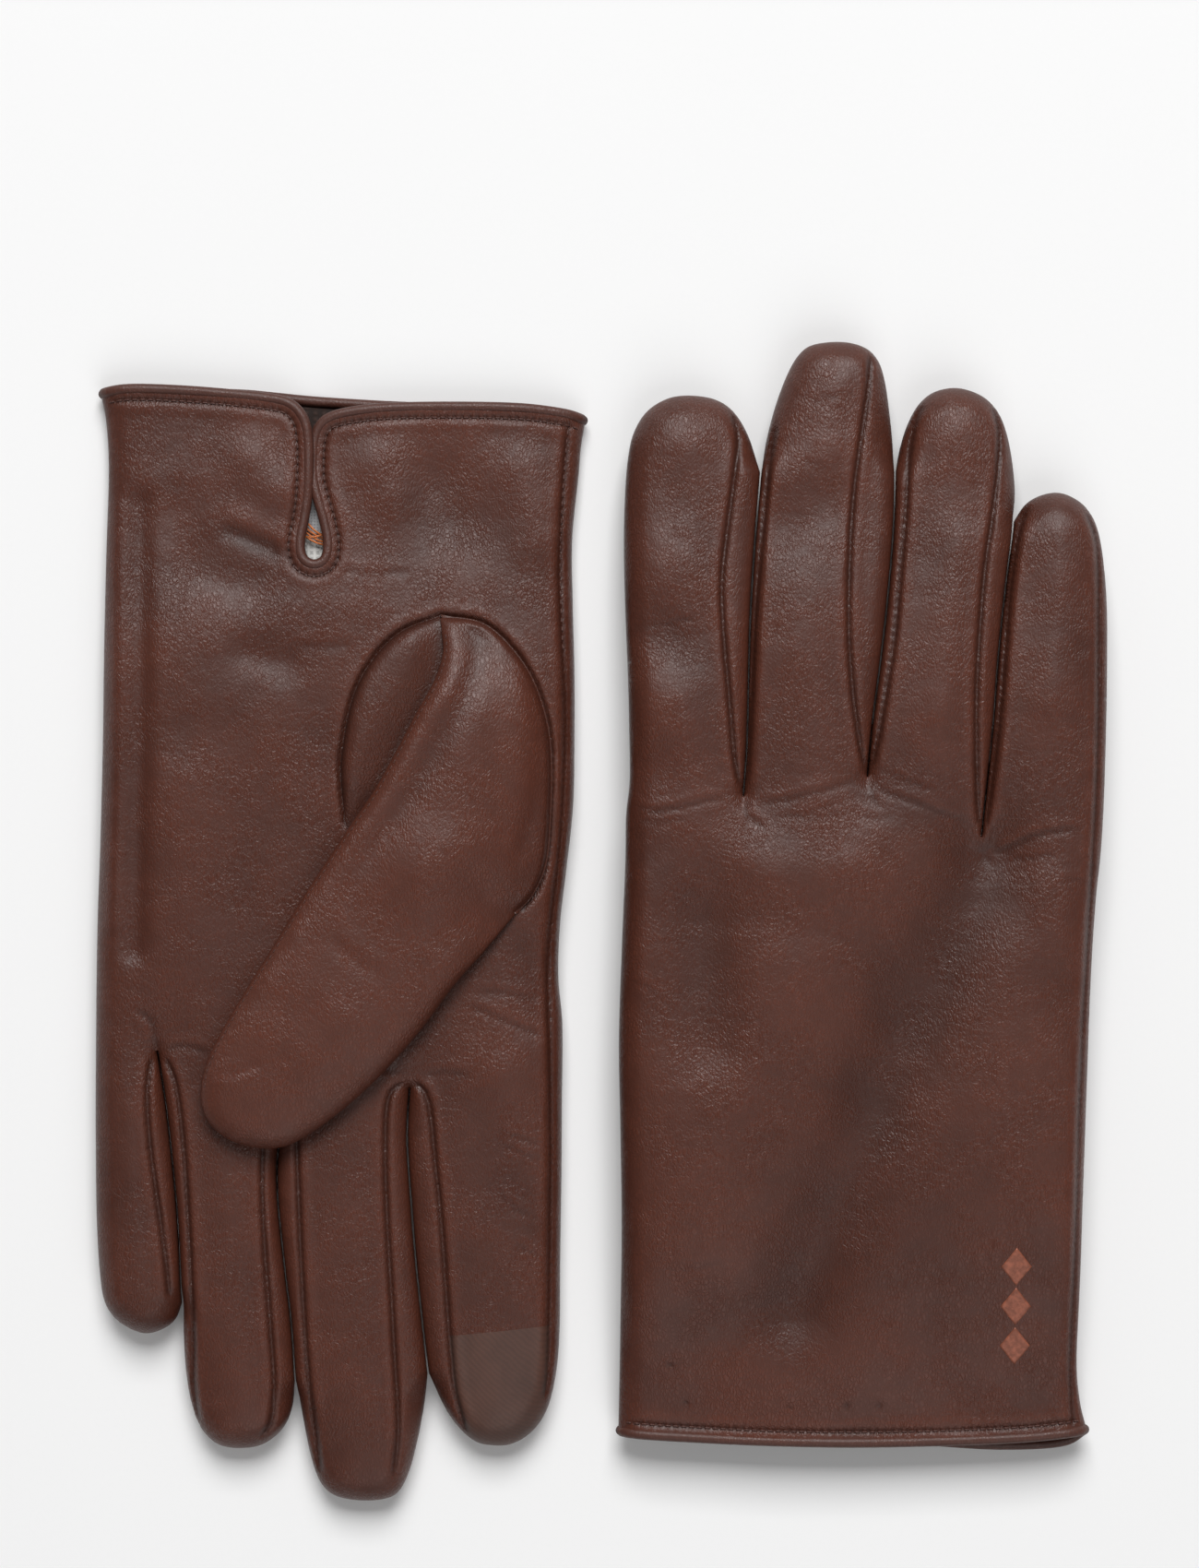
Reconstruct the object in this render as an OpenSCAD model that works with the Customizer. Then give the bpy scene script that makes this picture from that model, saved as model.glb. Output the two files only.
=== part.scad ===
// Pair of dress gloves in thin leather, laid flat side by side.
// Each glove is drawn once, as the right hand's with its back up, its fingers
// towards +Y and its palm face at z = 0. place() then sets it down on the table.
// The left glove is the same drawing turned over and end for end.

/* [Glove] */
// Thickness of the flattened hand, palm face to back face
hand_t = 13.5; // [11:0.5:16]
// Thickness of the flattened thumb
thumb_t = 8; // [6.5:0.5:10]
// Thickness of the leather
leather_t = 1.0; // [0.8:0.1:1.2]
// Thickness of the knitted lining
lining_t = 1.0; // [0.8:0.1:1.2]
// Play between leather and lining
play = 0.2; // [0.1:0.05:0.4]
// How far a side panel wraps on to the other face
wrap = 2.5; // [2:0.5:4]

/* [Fingers] */
// Width of the slot between two fingers
finger_gap = 1.8; // [1.8:0.1:2.2]
// Distance of the index finger's bend from the hand's middle
index_bend = 66; // [64:1:70]
// Distance of the middle finger's bend from the hand's middle
middle_bend = 68; // [64:1:72]
// Distance of the ring finger's bend from the hand's middle
ring_bend = 66; // [64:1:70]
// Distance of the little finger's bend from the hand's middle
little_bend = 58; // [56:1:62]
// Play at each finger's bend
bend_play = 0.3; // [0.2:0.05:0.5]
// Where the touch patch starts on the index finger
patch_y = 91; // [86:1:98]

/* [Cuff] */
// Height of the rolled binding round the cuff
binding_w = 2.5; // [2:0.25:3]
// Width of the binding round the vent
vent_binding_w = 2.2; // [1.8:0.2:2.6]
// Half width of the vent where it is widest
vent_r = 1.65; // [1.2:0.1:2.2]

/* [Hidden] */

leather = [0.31, 0.20, 0.165];
piping = [0.39, 0.28, 0.25];
knit = [0.16, 0.12, 0.11];
thread = [0.36, 0.25, 0.21];
patch_leather = [0.35, 0.26, 0.22];
copper = [0.53, 0.29, 0.22];
satin = [0.55, 0.55, 0.55];
paper = [0.85, 0.84, 0.80];
orange = [0.78, 0.43, 0.20];

air = 0.3;           // clearance between the thumb and the palm
arc_steps = 12;      // points round a fingertip
far = 200;           // reaches past the glove on every side
cuff_y = -115;       // open end of the glove
shell_end = cuff_y + binding_w;
thread_w = 0.4;      // width and depth of a row of stitches, sunk in the leather
stitch_y = shell_end + 1;
bends = [index_bend, middle_bend, ring_bend, little_bend];

// Slots between the fingers as [y, x], from the crotch to the notch between the tips.
// The two gloves lie a little differently, so each has its own three slots.
right_slots = [
  [[28, 32], [50, 33], [66, 33.4], [100, 35.8]],
  [[32, 59.2], [50, 61.3], [64, 63], [100, 65.8]],
  [[20, 84.3], [45, 87.2], [60, 88.8], [89, 92]]
];
left_slots = [
  [[37, 42.5], [50, 42.8], [66, 41.6], [100, 38.2]],
  [[39, 71], [52, 72.6], [66, 71], [101, 67.9]],
  [[29, 98.6], [40, 96.8], [58, 94.8], [86, 93.1]]
];
// Vertical lines that run through the four fingertips and part the side walls
band_x = [21, 53, 80, 103];
tip_y = [117.5, 129.5, 119, 95.5];
tip_lean = [0.5, 3, 1, 1];

index_side = [[4, cuff_y], [5, -90], [5, -60], [4.6, -25], [5.6, 0], [6.2, 30], [6.2, 60], [5.6, 85]];
little_side = [[112.4, 70], [112.4, 40], [111.3, 15], [109.6, -5], [108, -35], [107, -65],
               [106.5, -90], [108, cuff_y]];

// The thumb's sewn opening in the palm, and the thumb's own outline
opening_c = [34, -35.5];
opening_r = [22.5, 32.5];
thumb_outline = [
  [33, -69], [44, -65.5], [50.5, -59], [55, -50], [57.2, -38], [57, -20], [64.6, -8],
  [72.2, 5], [79, 15.6], [84.3, 25], [87.6, 32], [88.3, 38.5], [87, 43], [83.5, 46.8],
  [79, 49], [73, 49.6], [67.5, 48.3], [60, 43.5], [52.5, 37.3], [45.5, 30.5], [38.7, 22.5],
  [32, 13.5], [25.8, 6.5], [18.2, -2.5], [14, -8], [11.6, -16], [10.6, -26], [10.7, -37],
  [12, -46], [15.2, -55], [20.4, -62.3], [26.5, -67]
];
vent_x = 64.2;
vent_top = -84;      // centre of the vent's round end
vent_slit = 0.4;     // half width of the vent at the cuff

function side_slots(side) = side == "right" ? right_slots : left_slots;
function slot_x(slot, y) = lookup(y, slot);
function slot_end(slot) = slot[len(slot) - 1];

// Both edges of a slot, walked from the notch down to the crotch and up again
function slot_edges(slot) = concat(
  [for (i = [len(slot) - 1:-1:0]) [slot[i][1] - finger_gap / 2, slot[i][0]]],
  [for (p = slot) [p[1] + finger_gap / 2, p[0]]]);

// Rounded end of a finger between two points, bulging up to y = top
function fingertip(from, to, top, lean) =
  let (cx = (from[0] + to[0]) / 2, hw = (to[0] - from[0]) / 2)
  [for (i = [1:arc_steps - 1])
    let (a = 180 * i / arc_steps, base = a < 90 ? from[1] : to[1],
         rise = pow(sin(a), 0.77), run = pow(abs(cos(a)), 0.77) * (a < 90 ? -1 : 1))
    [cx + hw * run + lean * rise, base + (top - base) * rise]];

function tip_start(side, f) =
  f == 0 ? index_side[len(index_side) - 1]
         : let (e = slot_end(side_slots(side)[f - 1])) [e[1] + finger_gap / 2, e[0]];
function tip_end(side, f) =
  f == 3 ? little_side[0]
         : let (e = slot_end(side_slots(side)[f])) [e[1] - finger_gap / 2, e[0]];
function tip_arc(side, f) = fingertip(tip_start(side, f), tip_end(side, f), tip_y[f], tip_lean[f]);

// The whole flattened outline, clockwise from the cuff's index corner
function outline(side) = concat(
  index_side, tip_arc(side, 0),
  slot_edges(side_slots(side)[0]), tip_arc(side, 1),
  slot_edges(side_slots(side)[1]), tip_arc(side, 2),
  slot_edges(side_slots(side)[2]), tip_arc(side, 3), little_side);

function edge_normal(a, b) = let (d = b - a) [d[1], -d[0]] / norm(d);

// A clockwise outline moved inwards by d
function inset(pts, d) = [
  for (i = [0:len(pts) - 1])
    let (n = len(pts), before = edge_normal(pts[(i + n - 1) % n], pts[i]),
         after = edge_normal(pts[i], pts[(i + 1) % n]))
    pts[i] + d * (before + after) / (1 + before * after)];

function ellipse(c, r, steps = 36) =
  [for (i = [0:steps - 1]) c + [r[0] * cos(360 * i / steps), r[1] * sin(360 * i / steps)]];

// ---- flat shapes ----

module flat(side, d = 0) {
  polygon(inset(outline(side), d));
}

// Strip of width w along the outline's edge, starting d inside it
module rim(side, w, d = 0) {
  difference() {
    flat(side, d);
    flat(side, d + w);
  }
}

// Everything between the two fingertip lines either side of slot number k
module band(k) {
  low = k == 0 ? -far : band_x[k - 1];
  high = k == 4 ? far : band_x[k];
  translate([low, -far]) square([high - low, 2 * far]);
}

module tip_zone(side, f, extra = 0) {
  slots = side_slots(side);
  low_y = bends[f] - extra;
  ys = [low_y, 62, 66, 70, 86, 89, 100, 101, far];
  rows = [for (y = ys) if (y >= low_y) y];
  left = [for (y = rows) [f == 0 ? -far : slot_x(slots[f - 1], y), y]];
  right = [for (i = [len(rows) - 1:-1:0]) [f == 3 ? far : slot_x(slots[f], rows[i]), rows[i]]];
  polygon(concat(left, right));
}

module hand_zone(side) {
  difference() {
    translate([-far, shell_end]) square([2 * far, 2 * far]);
    for (f = [0:3]) tip_zone(side, f, bend_play);
  }
}

module zone(side, f) {
  if (f < 0) hand_zone(side);
  else tip_zone(side, f);
}

module thumb_hole() {
  polygon(ellipse(opening_c, opening_r));
}

// The vent's opening, grown by d
module vent(d = 0) {
  translate([vent_x, vent_top]) circle(r = vent_r + d, $fn = 32);
  polygon([
    [vent_x - vent_r - d, vent_top], [vent_x + vent_r + d, vent_top],
    [vent_x + vent_slit + d, vent_top - 14], [vent_x + vent_slit + d, -far],
    [vent_x - vent_slit - d, -far], [vent_x - vent_slit - d, vent_top - 14]]);
}

module layer(z0, z1) {
  translate([0, 0, z0]) linear_extrude(z1 - z0) children();
}

// Row of stitches along the cuff, as a flat strip
module stitch_row() {
  difference() {
    translate([8, stitch_y]) square([96, thread_w]);
    vent(vent_binding_w + 1);
  }
}

// The rows on both faces, sunk flush with the leather
module stitch_rows() {
  layer(0, thread_w) stitch_row();
  layer(hand_t - thread_w, hand_t) stitch_row();
}

// ---- pieces of one glove, f = -1 for the hand and 0 to 3 for the fingers ----

// Back leather: the back face and the wall round the index side
module back_leather(side, f) {
  color(leather) {
    difference() {
      layer(hand_t - leather_t, hand_t) intersection() {
        difference() {
          flat(side);
          intersection() { rim(side, wrap); band(4); }
        }
        zone(side, f);
      }
      if (f < 0) stitch_rows();
    }
    if (f <= 0) {
      layer(leather_t, hand_t - leather_t)
        intersection() { rim(side, leather_t); band(0); zone(side, f); }
      layer(0, leather_t) intersection() { rim(side, wrap); band(0); zone(side, f); }
    }
  }
}

// Palm leather: the palm face and the wall round the little finger's side
module palm_leather(side, f) {
  color(leather) {
    difference() {
      layer(0, leather_t) intersection() {
        difference() {
          flat(side);
          intersection() { rim(side, wrap); band(0); }
          if (f < 0) thumb_hole();
          if (f < 0) vent(vent_binding_w);
          if (f == 0) translate([-far, patch_y]) square([2 * far, far]);
        }
        zone(side, f);
      }
      if (f < 0) stitch_rows();
    }
    if (f < 0 || f == 3) {
      layer(leather_t, hand_t - leather_t)
        intersection() { rim(side, leather_t); band(4); zone(side, f); }
      layer(hand_t - leather_t, hand_t)
        intersection() { rim(side, wrap); band(4); zone(side, f); }
    }
  }
}

// Side strips between the fingers: strip k lines slot k
module side_strip(side, f, k) {
  color(leather) layer(leather_t, hand_t - leather_t)
    intersection() { rim(side, leather_t); band(k); zone(side, f); }
}

module finger_sides(side, f) {
  if (f > 0) side_strip(side, f, f);
  if (f < 3) side_strip(side, f, f + 1);
}

// Conductive patch on the palm side of the index fingertip
module touch_patch(side) {
  color(patch_leather) layer(0, leather_t) intersection() {
    difference() {
      flat(side);
      intersection() { rim(side, wrap); band(0); }
    }
    zone(side, 0);
    translate([-far, patch_y]) square([2 * far, far]);
  }
}

// Knitted lining, hollow, and open towards the cuff or the bend
module knit_lining(side, f) {
  outer = leather_t + play;
  inner = outer + lining_t;
  color(knit) {
    layer(inner, hand_t - inner) intersection() { rim(side, lining_t, outer); zone(side, f); }
    layer(hand_t - inner, hand_t - outer) intersection() { flat(side, outer); zone(side, f); }
    layer(outer, inner) intersection() {
      difference() {
        flat(side, outer);
        if (f < 0) thumb_hole();
        if (f < 0) vent(vent_binding_w);
      }
      zone(side, f);
    }
  }
}

// Rolled binding round the cuff and the vent
module cuff_binding() {
  low = [4, 0];
  size = [104, hand_t];
  wall = leather_t + play + lining_t;
  color(piping) {
    difference() {
      translate([low[0], cuff_y, 0]) cube([size[0], binding_w, size[1]]);
      translate([low[0] + wall, cuff_y - 1, wall])
        cube([size[0] - 2 * wall, binding_w + 2, size[1] - 2 * wall]);
      layer(-1, hand_t / 2) vent();
    }
    layer(0, wall) intersection() {
      difference() {
        vent(vent_binding_w);
        vent();
      }
      translate([-far, shell_end]) square(2 * far);
    }
  }
}

// Topstitching just inside the cuff's binding
module cuff_stitching() {
  color(thread) stitch_rows();
}

module thumb_shell(outer, wall) {
  top = -air - outer;
  low = -air - thumb_t + outer;
  layer(low, low + wall) polygon(inset(thumb_outline_cw(), outer));
  layer(low + wall, top - wall) difference() {
    polygon(inset(thumb_outline_cw(), outer));
    polygon(inset(thumb_outline_cw(), outer + wall));
  }
  layer(top - wall, top) difference() {
    polygon(inset(thumb_outline_cw(), outer));
    thumb_hole();
  }
}

function thumb_outline_cw() = [for (i = [len(thumb_outline) - 1:-1:0]) thumb_outline[i]];

module thumb() {
  color(leather) thumb_shell(0, leather_t);
}

module thumb_lining() {
  color(knit) thumb_shell(leather_t + play, lining_t);
}

// Labels sewn to the inside of the back lining, in line with the vent
label_top = hand_t - leather_t - play - lining_t;
label_t = 0.4;

module size_label() {
  color(satin) translate([vent_x - 9, -103, label_top - label_t]) cube([18, 14, label_t]);
}

module care_label() {
  color(paper) translate([vent_x - 7, -88, label_top - label_t]) cube([14, 12, label_t]);
}

module label_stitching() {
  color(orange) for (y = [-105.5, -88.8]) {
    translate([vent_x - 9, y, label_top - label_t]) cube([18, 0.6, label_t]);
  }
}

// Plain stack of lozenges pressed into the back near the cuff
emblem_t = 0.2;
emblem_r = 4.2;
module emblem() {
  color(copper) for (i = [-1:1]) {
    translate([92, -84.5 + 9 * i, hand_t]) cylinder(h = emblem_t, r = emblem_r, $fn = 4);
  }
}

// ---- laying the pair down ----

module place(side) {
  if (side == "right") translate([0, 0, thumb_t + air]) children();
  else translate([0, 0, hand_t]) mirror([1, 0, 0]) mirror([0, 1, 0]) mirror([0, 0, 1]) children();
}

place("left") back_leather("left", -1);  // left_back_panel
place("left") palm_leather("left", -1);  // left_palm_panel
place("left") side_strip("left", -1, 1);  // left_index_middle_fourchette
place("left") side_strip("left", -1, 2);  // left_middle_ring_fourchette
place("left") side_strip("left", -1, 3);  // left_ring_little_fourchette
place("left") cuff_binding();  // left_cuff_binding
place("left") cuff_stitching();  // left_cuff_stitching
place("left") knit_lining("left", -1);  // left_hand_lining
place("left") size_label();  // left_size_label
place("left") care_label();  // left_care_label
place("left") label_stitching();  // left_label_stitching
place("left") thumb();  // left_thumb
place("left") thumb_lining();  // left_thumb_lining
place("left") back_leather("left", 0);  // left_index_back
place("left") palm_leather("left", 0);  // left_index_palm
place("left") finger_sides("left", 0);  // left_index_sides
place("left") knit_lining("left", 0);  // left_index_lining
place("left") back_leather("left", 1);  // left_middle_back
place("left") palm_leather("left", 1);  // left_middle_palm
place("left") finger_sides("left", 1);  // left_middle_sides
place("left") knit_lining("left", 1);  // left_middle_lining
place("left") back_leather("left", 2);  // left_ring_back
place("left") palm_leather("left", 2);  // left_ring_palm
place("left") finger_sides("left", 2);  // left_ring_sides
place("left") knit_lining("left", 2);  // left_ring_lining
place("left") back_leather("left", 3);  // left_little_back
place("left") palm_leather("left", 3);  // left_little_palm
place("left") finger_sides("left", 3);  // left_little_sides
place("left") knit_lining("left", 3);  // left_little_lining
place("left") touch_patch("left");  // left_touch_patch
place("right") back_leather("right", -1);  // right_back_panel
place("right") palm_leather("right", -1);  // right_palm_panel
place("right") side_strip("right", -1, 1);  // right_index_middle_fourchette
place("right") side_strip("right", -1, 2);  // right_middle_ring_fourchette
place("right") side_strip("right", -1, 3);  // right_ring_little_fourchette
place("right") cuff_binding();  // right_cuff_binding
place("right") cuff_stitching();  // right_cuff_stitching
place("right") knit_lining("right", -1);  // right_hand_lining
place("right") emblem();  // right_emblem
place("right") thumb();  // right_thumb
place("right") thumb_lining();  // right_thumb_lining
place("right") back_leather("right", 0);  // right_index_back
place("right") palm_leather("right", 0);  // right_index_palm
place("right") finger_sides("right", 0);  // right_index_sides
place("right") knit_lining("right", 0);  // right_index_lining
place("right") back_leather("right", 1);  // right_middle_back
place("right") palm_leather("right", 1);  // right_middle_palm
place("right") finger_sides("right", 1);  // right_middle_sides
place("right") knit_lining("right", 1);  // right_middle_lining
place("right") back_leather("right", 2);  // right_ring_back
place("right") palm_leather("right", 2);  // right_ring_palm
place("right") finger_sides("right", 2);  // right_ring_sides
place("right") knit_lining("right", 2);  // right_ring_lining
place("right") back_leather("right", 3);  // right_little_back
place("right") palm_leather("right", 3);  // right_little_palm
place("right") finger_sides("right", 3);  // right_little_sides
place("right") knit_lining("right", 3);  // right_little_lining
place("right") touch_patch("right");  // right_touch_patch
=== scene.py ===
"""A pair of lined leather gloves lying flat: the left one palm up, the right one back up.

Each glove is worked out in its own plan, in millimetres: u runs across the hand from the index
finger's side, v runs along it towards the fingertips, and z is the height above the table.
Seen from above, the left glove's plan is turned half round; nothing else differs in its mapping.
"""
import math

import bpy
import numpy as np
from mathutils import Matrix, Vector, geometry, noise


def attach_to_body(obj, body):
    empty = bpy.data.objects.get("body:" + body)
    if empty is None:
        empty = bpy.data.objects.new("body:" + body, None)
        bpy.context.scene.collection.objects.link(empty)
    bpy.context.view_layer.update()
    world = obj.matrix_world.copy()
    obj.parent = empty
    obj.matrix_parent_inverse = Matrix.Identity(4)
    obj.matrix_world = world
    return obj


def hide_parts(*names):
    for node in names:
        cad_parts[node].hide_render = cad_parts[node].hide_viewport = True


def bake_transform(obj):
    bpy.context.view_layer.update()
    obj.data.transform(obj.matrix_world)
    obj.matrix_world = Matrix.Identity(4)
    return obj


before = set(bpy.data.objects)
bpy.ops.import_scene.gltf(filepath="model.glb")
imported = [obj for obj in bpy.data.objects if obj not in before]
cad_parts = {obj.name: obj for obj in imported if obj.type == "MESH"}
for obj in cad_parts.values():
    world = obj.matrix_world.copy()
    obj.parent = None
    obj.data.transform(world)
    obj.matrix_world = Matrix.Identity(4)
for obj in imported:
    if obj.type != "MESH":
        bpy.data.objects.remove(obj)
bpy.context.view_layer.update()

MM = 0.001
FINGERS = ("index", "middle", "ring", "little")
LEATHER = 0.9            # thickness of the leather
SLOT = 0.3               # width of the gap between two fingers, where they all but touch
GRID = 1.0               # spacing of the points on a face that shows
COARSE = 2.4             # the same on a face turned down
KNIT_GRID = 3.2          # the same on the linings
LINE = 0.8               # spacing of the points along seams, slots and the thumb's outline
RINGS = (0.12, 0.4, 0.9, 1.6, 2.5)   # rings of points along an edge, to round it
COARSE_RINGS = (0.15, 0.6, 1.4, 2.6, 4.2)
SEAM_ROWS = (0.35, 0.8, 1.4)         # rows of points on each side of a seam
WAIST = 0.42             # height of the widest line, as a share of the thickness
EDGE_ROUND = 5.6         # how far in the rounded edge of the upper side reaches
UNDER_ROUND = 3.2        # the same on the under side
WELD = 2e-6              # metres between points that count as one

# ---------------------------------------------------------------- plan of each glove

PLAN = {
    "right": {
        "low": 8.3,
        "bends": (66, 68, 66, 58),
        "index_side": [
            (4.2, -113.4), (4.4, -104), (4.6, -91), (4.9, -67), (4.6, -45), (4.3, -26),
            (4.9, -6), (5.7, 13), (5.9, 24), (6.7, 32), (6.6, 42), (6.3, 55), (5.7, 70),
            (5.4, 84), (5.7, 96), (6.4, 104), (7.7, 109.5), (10.7, 114.2), (15.6, 117.1),
            (21.1, 117.6), (26.4, 116.5), (30.3, 113.5), (33.4, 108)],
        "slots": [
            [
                (31.8, 28.3), (32.6, 40), (33, 55), (33.4, 68), (34.4, 84), (35.8, 100.2)],
            [
                (59.2, 32.6), (60.4, 45), (62.4, 60), (64, 74), (65.2, 88), (65.7, 100.4)],
            [
                (84.4, 19.3), (85.8, 32), (87.2, 46), (88.3, 60), (90, 75), (92, 89.4)],
        ],
        "tips": [
            None,
            [
                (37.3, 108), (39.4, 115.8), (42, 122.6), (44.6, 126.9), (47.8, 129),
                (54, 129.6), (59, 128.4), (62, 125.6), (63.6, 121), (64.6, 114.2), (65.3, 107)],
            [
                (67, 106), (68.6, 111), (71, 115.4), (74.2, 118.2), (78.3, 119.3), (82, 118.9),
                (85.9, 117.1), (88.9, 113.8), (90.8, 109), (92, 102.5), (92.5, 95.5)],
            None,
        ],
        "little_side": [
            (94.6, 93), (97.6, 95), (101.5, 95.9), (105, 95), (108.4, 92.4), (110.7, 88),
            (112, 81), (112.7, 71), (112.7, 60), (112.5, 48), (112, 30), (111.3, 17),
            (110.1, 5), (109.1, -10), (108.2, -33), (107.3, -60), (106.7, -83), (106.4, -98),
            (107.3, -107), (108.8, -113)],
        "cuff": [
            (108.8, -113), (90, -114.6), (60, -115.4), (36, -115), (18, -114.2), (4.2, -113.4)],
        "under_cuff": [
            (108.8, -113), (104, -116.2), (90, -117), (74, -116), (66, -114.5), (40, -112),
            (18, -112.6), (4.2, -113.4)],
        "edge_seams": {"little": [
            (107.5, 92), (109.8, 86), (110.4, 78), (110.3, 50), (109.8, 30), (109.1, 17),
            (107.7, -6), (106.2, -33), (105.4, -60), (104.9, -85), (104.8, -100), (105.6, -113)]},
        "slot_seams": [
            ([
                (29.2, 114.2), (30.4, 110), (30.7, 106), (29.8, 98.8), (28.2, 87), (27, 75.6),
                (27.4, 64), (28.6, 50), (29.6, 38), (31.2, 29.6)],
             [
                (32.4, 29.8), (32.9, 38), (33.5, 50), (34.4, 68), (35.4, 79.5), (36.6, 92),
                (37.8, 103), (39.4, 112)]),
            ([
                (60.2, 127), (59.9, 122), (59.2, 116), (57.7, 106.4), (56.2, 95), (55.2, 79.5),
                (55, 64), (56, 50), (57.4, 40), (58.8, 33.6)],
             [
                (59.9, 33.8), (61.6, 42), (63.4, 52), (65.2, 64), (66.7, 79.5), (67.8, 91),
                (68.6, 102.7), (70, 111), (72.4, 116)]),
            ([
                (87, 115.4), (88.6, 110.3), (88.4, 102.7), (87, 91), (85.2, 79.5), (83.8, 64),
                (83.1, 50), (83.2, 34), (83.9, 20.8)],
             [
                (85.2, 20.8), (86.6, 32), (88.4, 47), (89.6, 60), (91, 76), (93.2, 88),
                (95.6, 93)]),
        ],
    },
    "left": {
        "low": 0.0,
        "bends": (66, 68, 66, 58),
        "index_side": [
            (3.2, -112.4), (4.2, -106), (4.7, -100), (6.1, -86), (6, -72), (5.6, -56),
            (5.6, -40), (5.9, -26), (7.4, -12), (8.8, 0), (9.2, 12), (8.3, 23), (8.4, 40),
            (8.5, 56), (8.8, 76), (8.9, 90), (9.6, 100), (11.6, 108.6), (15, 113.8),
            (19.4, 116.6), (23.8, 117), (28, 116), (32.2, 112.2), (35.4, 107)],
        "slots": [
            [
                (42.4, 36.8), (42.9, 48), (42.1, 61), (40.9, 76), (39.4, 90), (38.2, 100.6)],
            [
                (69.4, 40), (71.6, 50), (71.8, 61), (70.2, 77), (68.7, 90), (67.9, 102.4)],
            [(98.6, 28.4), (96.8, 40), (95.2, 54), (94, 68), (93.2, 85)],
        ],
        "tips": [
            None,
            [
                (39.4, 109), (41, 117), (42.8, 123.4), (45.4, 127.8), (49.4, 129.2),
                (55, 129.2), (59.6, 128), (62.6, 125), (64.6, 119.4), (66.2, 111.6)],
            [
                (68.9, 109), (71.2, 113.6), (75.4, 116.8), (80.4, 117.6), (85.2, 116.8),
                (88.8, 113.6), (91, 108.6), (92.4, 101.4), (93, 93)],
            None,
        ],
        "little_side": [
            (94.8, 88.6), (97.4, 90.8), (101.2, 91.9), (105, 90.8), (108.6, 88.2),
            (110.8, 84.4), (111.8, 78), (112.5, 66), (112.7, 50), (112.7, 34), (112.4, 4),
            (111.7, -18), (111.1, -41), (110.9, -59), (110.5, -82), (110, -101), (110.6, -112),
            (111.8, -118.4)],
        "cuff": [
            (111.8, -118.4), (104.8, -119.2), (92.6, -118.8), (80.4, -117.8), (73.4, -117),
            (69.2, -115.9), (66.4, -113.2), (65.2, -109.4), (64.9, -104), (65.1, -96),
            (65.9, -90), (66.8, -85), (66.2, -81.2), (63.6, -79.7), (61, -81), (60.4, -84.8),
            (61.4, -90), (63, -95.4), (63.9, -100), (63.8, -106), (63.2, -109.6),
            (61.4, -112.2), (57, -113.8), (48, -114.9), (33.4, -115.2), (18.2, -114.9),
            (8, -113.7), (3.2, -112.4)],
        "under_cuff": [
            (111.8, -118.4), (96, -118.8), (81, -118.5), (73, -117.8), (64, -116.9),
            (50, -116), (38, -115.4), (18, -113.8), (3.2, -112.4)],
        "edge_seams": {"index": [
            (12.4, 106.6), (11.6, 100), (11.2, 88), (11, 72), (10.8, 50), (11, 30), (11.4, 12),
            (10.8, 0), (9.4, -12), (8.2, -26), (7.6, -46), (8.2, -62), (8.8, -78), (8.4, -92),
            (7.6, -104), (6.8, -112.6)]},
        "slot_seams": [
            ([
                (29.4, 114.6), (31.2, 108), (32.3, 102.6), (33.4, 91), (34.3, 78),
                (35.3, 64.7), (36.6, 52), (37.6, 42), (39.2, 37), (42, 35.4)],
             [
                (42.9, 35.4), (46, 37), (47.4, 42), (47.6, 54), (47.1, 68.5), (46.3, 82),
                (45.6, 95), (44.8, 112), (46, 124)]),
            ([
                (62.2, 123.6), (63.6, 112), (64.9, 98.8), (65.9, 83), (66.6, 68.5), (67.1, 54),
                (67.6, 42)],
             [
                (72.2, 42), (74.6, 48), (75, 60), (74.2, 76), (73, 92), (72.4, 102),
                (73.2, 111), (76, 115)]),
            ([
                (89.2, 112), (90.4, 104), (90.5, 94), (90.7, 80), (91.6, 62), (92.6, 48),
                (94.2, 36), (96.8, 29.2)],
             [
                (99.6, 29.2), (100.6, 38), (99.8, 50), (98.2, 62), (96.6, 74), (95.6, 84)]),
        ],
    },
}

THUMB_FREE = [
    (35.4, -68.4), (35, -64), (34.8, -60), (36.6, -54), (40.6, -46.7), (45.3, -37.8),
    (50, -29.4), (54.8, -22.4), (59.4, -15.4), (64.6, -7.6), (72.2, 4.8), (78.9, 15.6),
    (84.3, 25), (87.4, 32), (88.3, 38.4), (87.1, 43), (83.8, 46.6), (79, 48.9), (73, 49.7),
    (67.5, 48.4), (60, 43.6), (52.5, 37.4), (45.5, 30.4), (38.7, 22.4), (32, 13.4),
    (25.8, 6.4), (18.4, -2.4)]
THUMB_ROOT = [
    (18.4, -2.4), (14.8, -6.4), (12, -13), (11, -22.3), (10.7, -36.4), (11.9, -45.8),
    (15.2, -55), (20.4, -62.3), (26.5, -67), (35.4, -68.4)]
THUMB_POCKET = [
    (35.4, -68.4), (43.9, -65), (50, -59.2), (54.7, -50.6), (57.1, -39), (57.4, -31.7),
    (56.2, -20.6)]
THUMB_T = 7.8            # thickness of the empty thumb
THUMB_LIFT = 0.3         # gap between the thumb and the palm
VENT_U = 64.2            # where the left cuff's vent runs
STITCH_PITCH = 1.75
STITCH_IN = 2.4          # from the middle of the binding to the row of topstitching


def run_along(line):
    """How far along a line each of its points is."""
    return np.concatenate([[0], np.cumsum(np.linalg.norm(np.diff(line, axis=0), axis=1))])


def unit(vectors):
    """The vectors at length one."""
    return vectors / np.maximum(np.linalg.norm(vectors, axis=1), 1e-15)[:, None]


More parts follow.
